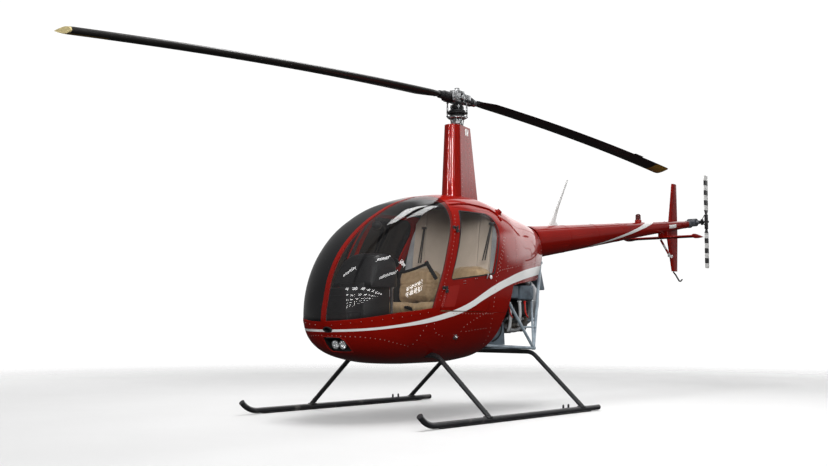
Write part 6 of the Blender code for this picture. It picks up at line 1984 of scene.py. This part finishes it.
# Whip antenna and beacon. A white fibreglass blade on the first bay, and a red anti-collision light near
# the fin. The blade and its foot are one moulding, and the lens sits on a painted base.
whip_rings = []
for z, front, back, half in ((1.6, -1.392, -1.6, 0.011), (1.66, -1.4, -1.56, 0.01),
        (1.7, -1.432, -1.52, 0.008), (1.82, -1.513, -1.572, 0.006), (2.0, -1.638, -1.68, 0.0045),
        (2.112, -1.716, -1.748, 0.0034), (2.12, -1.724, -1.746, 0.002)):
    whip_rings.append([(x, y, z) for x, y in leaf_ring(front, back, half)])
whip = cut(loft(whip_rings), [("DIFFERENCE", cone_tool(-1.2, -1.9))])
piece("whip_antenna", whip, white_enamel, "antenna", smooth=40.0)
BEACON_X = -3.125
red_lens = Finish("red_lens", (0.24, 0.006, 0.005), 0.12, 0.0, Coat_Weight=1.0, Coat_Roughness=0.02)
ribs = red_lens.start.waves(160.0, "Z")
red_lens.rough(0.08 + ribs * 0.08)
red_lens.tone(ribs, (0.05, 0.004, 0.004), (0.1, 0.006, 0.005))
red_lens.bump(ribs, 0.0012, 0.6)
cone_cutter = cone_tool(-2.9, -3.35)
beacon_base = cut(turned(((0.0, 1.77), (0.0355, 1.77), (0.0355, 1.812), (0.033, 1.8215), (0.0, 1.8215)),
    (BEACON_X, 0, 0)), [("DIFFERENCE", cone_cutter)])
piece("beacon_base", beacon_base, red_body)
dome = [(0.0, 1.8222), (0.0285, 1.8222), (0.0285, 1.868)] + [(0.0285 * math.cos(part),
    1.868 + 0.0215 * math.sin(part)) for part in np.linspace(0.2, math.pi / 2, 8)]
piece("beacon_lens", turned(dome, (BEACON_X, 0, 0)), red_lens, "beacon")

# Tail gearbox. A cast housing, painted dark, with a bolted output neck and a filler plug. The hub on its
# shaft is black steel, with bolts and a link for each blade.
TAIL_ARM = 4.39
TAIL_ROTOR_Z = 1.88
TAIL_ROTOR_Y = 0.178
cast_dark = Finish("dark_casting", (0.022, 0.024, 0.032), 0.45, 0.2)
cast_rough = cast_dark.noise(240.0, 3.0)
cast_dark.tone(cast_dark.noise(22.0, 4.0).step(0.42, 0.7), (0.06, 0.066, 0.08), (0.15, 0.155, 0.165))
cast_dark.rough(0.36 + cast_rough * 0.25)
cast_dark.bump(cast_rough, 0.001, 0.4)
gear_parts = [rod((-4.2405, 0, 1.85), (-4.25, 0, 1.85), 0.0428, 48, 0.0425, bevel=0.0015),
    rod((-4.249, 0, 1.85), (-4.345, 0, 1.85), 0.0415, 40, 0.0355, bevel=0.002),
    rod((-4.3, 0, 1.862), (-TAIL_ARM, 0, TAIL_ROTOR_Z), 0.0315, 32),
    rod((-TAIL_ARM, -0.048, TAIL_ROTOR_Z), (-TAIL_ARM, 0.06, TAIL_ROTOR_Z), 0.0455, 48, bevel=0.005),
    rod((-TAIL_ARM, 0.05, TAIL_ROTOR_Z), (-TAIL_ARM, 0.098, TAIL_ROTOR_Z), 0.0295, 40, 0.0195, bevel=0.001),
    rod((-TAIL_ARM, 0.0, TAIL_ROTOR_Z + 0.04), (-TAIL_ARM, 0.0, TAIL_ROTOR_Z + 0.045), 0.01, 6,
    bevel=0.0008)]
for angle in np.linspace(0, math.tau, 8, endpoint=False):
    spot = Vector((-TAIL_ARM + 0.038 * math.cos(angle), 0.0, TAIL_ROTOR_Z + 0.038 * math.sin(angle)))
    gear_parts.append(rod(spot + Vector((0, 0.058, 0)), spot + Vector((0, 0.063, 0)), 0.0042, 6,
        bevel=0.0004))
    gear_parts.append(rod(spot - Vector((0, 0.046, 0)), spot - Vector((0, 0.0478, 0)), 0.0042, 6,
        bevel=0.0004))
    flange = Vector((-4.2445, 0.038 * math.cos(angle), 1.85 + 0.038 * math.sin(angle)))
    gear_parts.append(rod(flange, flange - Vector((0.009, 0, 0)), 0.0036, 6, bevel=0.0004))
piece("gearbox_casting", gear_parts, cast_dark, "tail_gearbox")
hub_parts = [rod((-TAIL_ARM, 0.0984, TAIL_ROTOR_Z), (-TAIL_ARM, 0.207, TAIL_ROTOR_Z), 0.0115, 28,
    bevel=0.0015), rod((-TAIL_ARM, 0.118, TAIL_ROTOR_Z), (-TAIL_ARM, 0.134, TAIL_ROTOR_Z), 0.0355, 40,
    bevel=0.003), block((-TAIL_ARM - 0.022, TAIL_ROTOR_Y - 0.014, TAIL_ROTOR_Z - 0.085),
    (-TAIL_ARM + 0.022, TAIL_ROTOR_Y + 0.014, TAIL_ROTOR_Z + 0.085), 0.004, 3)]
for side in (1, -1):
    for place in (0.04, 0.07):
        spot = Vector((-TAIL_ARM, TAIL_ROTOR_Y, TAIL_ROTOR_Z + side * place))
        hub_parts.append(rod(spot - Vector((0, 0.0175, 0)), spot + Vector((0, 0.0175, 0)), 0.0055, 6,
            bevel=0.0006))
    link_end = Vector((-TAIL_ARM + side * 0.031, TAIL_ROTOR_Y - 0.008, TAIL_ROTOR_Z + side * 0.072))
    hub_parts.append(rod((-TAIL_ARM + side * 0.028, 0.128, TAIL_ROTOR_Z + side * 0.01), link_end, 0.0042,
        12))
    hub_parts.append(rod(link_end - Vector((side * 0.012, 0, 0)), link_end + Vector((side * 0.004, 0, 0)),
        0.0055, 16, bevel=0.001))
piece("tail_yoke", hub_parts, black_steel, "tail_rotor_hub", body="tail_rotor")

# Tail rotor blades. Aluminium blades, banded white and black so that the turning disc is seen. Each is a
# thin skin formed round its spar and bolted into the hub.
TAIL_BLADE_CHORD = 0.102
TAIL_RADIUS = 0.535
banded = Finish("banded_blade", (0.75, 0.75, 0.74), 0.35)
start = banded.start
along, across, up = start.axes()
out = (up - TAIL_ROTOR_Z).math("ABSOLUTE")
band = (TAIL_RADIUS - out) / 0.0575
black_band = band.math("MODULO", band, 2.0) > 1.0
inner = out < TAIL_RADIUS - 7 * 0.0575
dark = black_band.math("MAXIMUM", black_band, inner)
ink = start.noise(40.0, 4.0)
banded.tone(dark, start.blend(ink.step(0.45, 0.75), (0.78, 0.78, 0.77), (0.62, 0.61, 0.58)),
    (0.02, 0.02, 0.022))
banded.rough(0.32 + ink * 0.2)
for side, name in ((1, "upper"), (-1, "lower")):
    rings = []
    for out, chord in ((0.0854, 0.05), (0.1, 0.064), (0.13, TAIL_BLADE_CHORD), (0.25, TAIL_BLADE_CHORD),
            (0.4, TAIL_BLADE_CHORD), (0.523, TAIL_BLADE_CHORD), (0.535, TAIL_BLADE_CHORD * 0.86)):
        rings.append([(-TAIL_ARM + side * (forward + 0.25 * chord), TAIL_ROTOR_Y + height,
            TAIL_ROTOR_Z + side * out) for forward, height in blade_section(chord, 0.013)])
    piece(f"tail_blade_skin_{name}", loft(rings), banded, f"tail_blade_{name}", body="tail_rotor",
        smooth=40.0)

# Landing gear. Steel cross tubes and legs, bent from one piece each and ringed by clamps. Their feet are
# bolted to saddles on the skid tubes, which carry wear shoes below and pins for the ground wheels.
gear_black = Finish("gear_black", (0.018, 0.018, 0.020), 0.34, 0.0, Coat_Weight=0.4, Coat_Roughness=0.12)
worn = gear_black.noise(9.0, 6.0)
along, across, up = gear_black.start.axes()
scuff = worn.step(0.56, 0.72) * (up < 0.09)
gear_black.tone(scuff, gear_black.start.blend(worn, (0.014, 0.014, 0.016), (0.026, 0.026, 0.028)),
    (0.1, 0.095, 0.09))
gear_black.rough(0.28 + worn * 0.2 + scuff * 0.2)
gear_black.bump(gear_black.noise(180.0), 0.0003, 0.15)
for name, x in (("front", 0.800), ("rear", -0.474)):
    parts = [tube(arch_points(x), ARCH_RADIUS, 24)]
    heel = Vector((x, SKID_Y, ARCH_FOOT_Z))
    down = (heel - Vector((x, ARCH_TOP_Y, ARCH_TOP_Z))).normalized()
    for side in (1, -1):
        for along_leg, grow in ((0.035, 0.0015), (0.325, 0.0012), (0.56, 0.0012)):
            ring_low = heel - down * along_leg
            ring_high = heel - down * (along_leg + 0.007)
            low_end, high_end = (Vector((point.x, side * point.y, point.z))
                for point in (ring_low, ring_high))
            parts.append(rod(low_end, high_end, ARCH_RADIUS + grow, 24, bevel=0.0008))
    piece(f"cross_tube_{name}", parts, gear_black, f"landing_arch_{name}")
SKID_LINE_Z = 0.0265
SKID_RADIUS = 0.0225
bend_x, bend_radius, tip_reach = 1.405, 0.225, 0.165
last_angle = math.asin(tip_reach / bend_radius)
skid_centre = [(-0.74, SKID_Y, SKID_LINE_Z), (-0.3, SKID_Y, SKID_LINE_Z), (0.4, SKID_Y, SKID_LINE_Z)]
for part in np.linspace(0.0, 1.0, 13):
    swing = last_angle * part
    skid_centre.append((bend_x + bend_radius * math.sin(swing), SKID_Y,
        SKID_LINE_Z + bend_radius * (1 - math.cos(swing))))
skid_parts = [tube(skid_centre, SKID_RADIUS, 28)]
tip = Vector(skid_centre[-1])
tip_way = (tip - Vector(skid_centre[-2])).normalized()
skid_parts.append(rod(tip - tip_way * 0.004, tip + tip_way * 0.004, SKID_RADIUS + 0.0012, 28, bevel=0.001))
shoe_outline = [(-0.6, 0.0), (1.345, 0.0), (1.38, 0.006), (1.38, 0.0118), (-0.6, 0.0118)]
shoe = eased(prism(shoe_outline, SKID_Y - 0.018, SKID_Y + 0.018), 0.002, 2)
skid_parts.append(shoe)
for x in np.linspace(-0.54, 1.3, 9):
    skid_parts.append(rod((x, SKID_Y - 0.0195, 0.008), (x, SKID_Y + 0.0195, 0.008), 0.0035, 6))
for x in (0.8, -0.474):
    saddle = block((x - 0.035, SKID_Y - 0.0215, 0.03), (x + 0.035, SKID_Y + 0.0215, ARCH_FOOT_Z - 0.0008),
        0.005, 3)
    skid_parts.append(saddle)
    for end in (-0.024, 0.024):
        skid_parts.append(rod((x + end, SKID_Y, 0.047), (x + end, SKID_Y, ARCH_FOOT_Z + 0.0035), 0.005, 6,
            bevel=0.0005))
for x in (-0.285, -0.21):
    skid_parts.append(rod((x, SKID_Y - 0.004, SKID_LINE_Z + 0.018),
        (x, SKID_Y - 0.004, SKID_LINE_Z + 0.046), 0.0085, 20, bevel=0.001))
    skid_parts.append(rod((x, SKID_Y - 0.004, SKID_LINE_Z + 0.0455),
        (x, SKID_Y - 0.004, SKID_LINE_Z + 0.05), 0.0055, 16))
skid_mesh = joined(skid_parts)
for side_name, mesh in (("left", skid_mesh), ("right", mirrored(skid_mesh))):
    piece(f"runner_{side_name}", mesh, gear_black, f"skid_{side_name}")

# Floor and light. A pale studio floor that fades out round the machine, under ceiling lamps in a dim hall
# with a bright backdrop behind the tail, a lit window at the left and rows of smaller lamps further off.
FLOOR_CLEAR = 3.4
FLOOR_END = 10.5
FLOOR_COLOR = (0.7, 0.7, 0.7)
ROOM = 0.24
BACKDROP = 2.2
BACKDROP_UP = (0.1, 0.17, 0.3, 0.36)
CEILING = 5.4
LAMP_SHARE = 0.45
floor_finish = Finish("studio_floor", FLOOR_COLOR, 0.6, Specular_IOR_Level=0.1)
start = floor_finish.start
along, across, up = start.axes()
away = (along * along + across * across).math("SQRT")
floor_finish.rough(0.5 + start.noise(3.0) * 0.15)
dust = start.noise(1.3, 3.0).step(0.3, 0.7)
floor_finish.tone(dust, FLOOR_COLOR, tuple(0.985 * part for part in FLOOR_COLOR))
floor_finish.set("Alpha", away.step(FLOOR_CLEAR, FLOOR_END, 1.0, 0.0))
bm = bmesh.new()
bmesh.ops.create_circle(bm, cap_ends=True, segments=64, radius=FLOOR_END)
floor_mesh = mesh_from(bm)
floor_mesh.materials.append(floor_finish.material)
floor = linked("studio_floor", floor_mesh)
floor.location = (0.0, 0.0, -0.0005)
floor.visible_diffuse = False
floor.visible_glossy = False
world = bpy.data.worlds.new("studio")
world.use_nodes = True
bpy.context.scene.world = world
bpy.context.scene.view_settings.view_transform = "Standard"
room = Wire(world.node_tree)
background = world.node_tree.nodes["Background"]
along, across, up = room.axes(room.node("ShaderNodeTexCoord", out=0))
behind = along * -0.99 + across * -0.139
side_wall = along * -0.94 + across * -0.342
band = up.step(BACKDROP_UP[0], BACKDROP_UP[1]) * up.step(BACKDROP_UP[2], BACKDROP_UP[3], 1.0, 0.0)
flat = (1.02 - up * up).math("SQRT", 1.02 - up * up)
wall = (behind / flat).step(0.84, 0.93) * band
far_wall = (side_wall / flat).step(0.88, 0.95) * up.step(0.0, 0.08) * up.step(0.7, 0.84, 1.0, 0.0)
room_light = (wall.math("MAXIMUM", wall, far_wall * 0.7) * BACKDROP + ROOM) * up.step(-0.05, 0.05, 0.15, 1.0)
sideways = along * -0.956 + across * -0.292
facing = along * -0.292 + across * 0.956
window = (sideways > -0.145) * (sideways < 0.18) * (facing > 0.0) * (up > 0.052) * (up < 0.116)
bars = (sideways * 12.0).math("FRACT") < 0.74
window = window * bars * ((up - 0.085).math("ABSOLUTE") > 0.005)
overhead = up.math("MAXIMUM", up, 0.02)
over_x = along / overhead * CEILING + 1.1
over_y = across / overhead * CEILING + 0.2
row = (over_x / 2.8 + 0.20).math("FRACT") < 0.36
column = (over_y / 3.6 + 0.10).math("FRACT") < 0.55
spread = (over_x * over_x + over_y * over_y).math("SQRT")
lamp_rows = row * column * (spread < 26.0) * (over_x > 10.2) * (over_y > -3.0) * (up > 0.05)
room_light = room_light + window * 12.0 + lamp_rows * 10.0
seen = room.node("ShaderNodeLightPath")
brightness = room_light + seen * (1.05 - room_light)
world.node_tree.links.new(brightness.socket, background.inputs["Strength"])
background.inputs["Color"].default_value = (1.0, 1.0, 1.0, 1.0)
PANEL_HEIGHT = 6.4
PANELS = ((-1.05, -1.25, 2.7, 2.2, 112.0, 15.0), (4.05, 3.4, 2.5, 0.5, 117.0, 22.0),
    (1.9, 10.3, 4.0, 0.5, 105.0, 22.0), (4.85, 10.1, 5.8, 1.1, 133.0, 16.0),
    (6.8, -2.5, 2.9, 0.6, 122.0, 20.0))
SOFT_BOXES = (((0.3, 0.6, 5.6), (0.3, 0.4, 0.0), 3.0, 8.0), ((7.6, 7.2, 3.4), (0.6, 0.2, 1.1), 3.0, 15.0),
              ((-4.0, 7.5, 3.6), (-0.6, 0.2, 1.2), 3.0, 3.4), ((1.0, -7.5, 3.6), (0.2, 0.0, 1.2), 3.0, 3.4))
STRIPS = ((12.0, 14.0, 0.06, 0.45, 170.0), (40.0, 13.0, 0.06, 1.7, 190.0), (-14.0, 12.0, 0.06, 1.4, 130.0))


def lamp_at(name, place, aim, wide, long, glow):
    """A flat rectangular lamp. glow is the brightness of its face."""
    lamp = bpy.data.lights.new(name, "AREA")
    lamp.shape = "RECTANGLE"
    lamp.size, lamp.size_y = wide, long
    lamp.energy = math.pi * wide * long * glow
    holder = linked(name, lamp)
    holder.location = place + Vector((MAST_X, 0.0, 0.0))
    holder.rotation_euler = (place - aim).to_track_quat("Z", "Y").to_euler()
    holder.visible_camera = False
    return holder


for number, (x, y, long, wide, turn_by, glow) in enumerate(PANELS):
    lamp = lamp_at(f"ceiling_{number}", Vector((x, y, PANEL_HEIGHT)), Vector((x, y, 0.0)), long, wide,
        glow * LAMP_SHARE)
    lamp.rotation_euler = (0.0, 0.0, math.radians(turn_by))
for number, (place, aim, size, glow) in enumerate(SOFT_BOXES):
    soft = lamp_at(f"soft_box_{number}", Vector(place), Vector(aim), size, size, glow)
    soft.visible_glossy = False
fairing_only = bpy.data.collections.new("fairing_only")
fairing_only.objects.link(fairing_piece)
for number, (azimuth, elevation, wide, tall, glow) in enumerate(STRIPS):
    way = Vector((math.cos(math.radians(azimuth)), math.sin(math.radians(azimuth)),
        math.tan(math.radians(elevation))))
    aim = Vector((0.06, 0.0, 2.06))
    strip = lamp_at(f"strip_{number}", aim + way * 2.4, aim, wide, tall, glow)
    strip.light_linking.receiver_collection = fairing_only
    strip.visible_diffuse = False
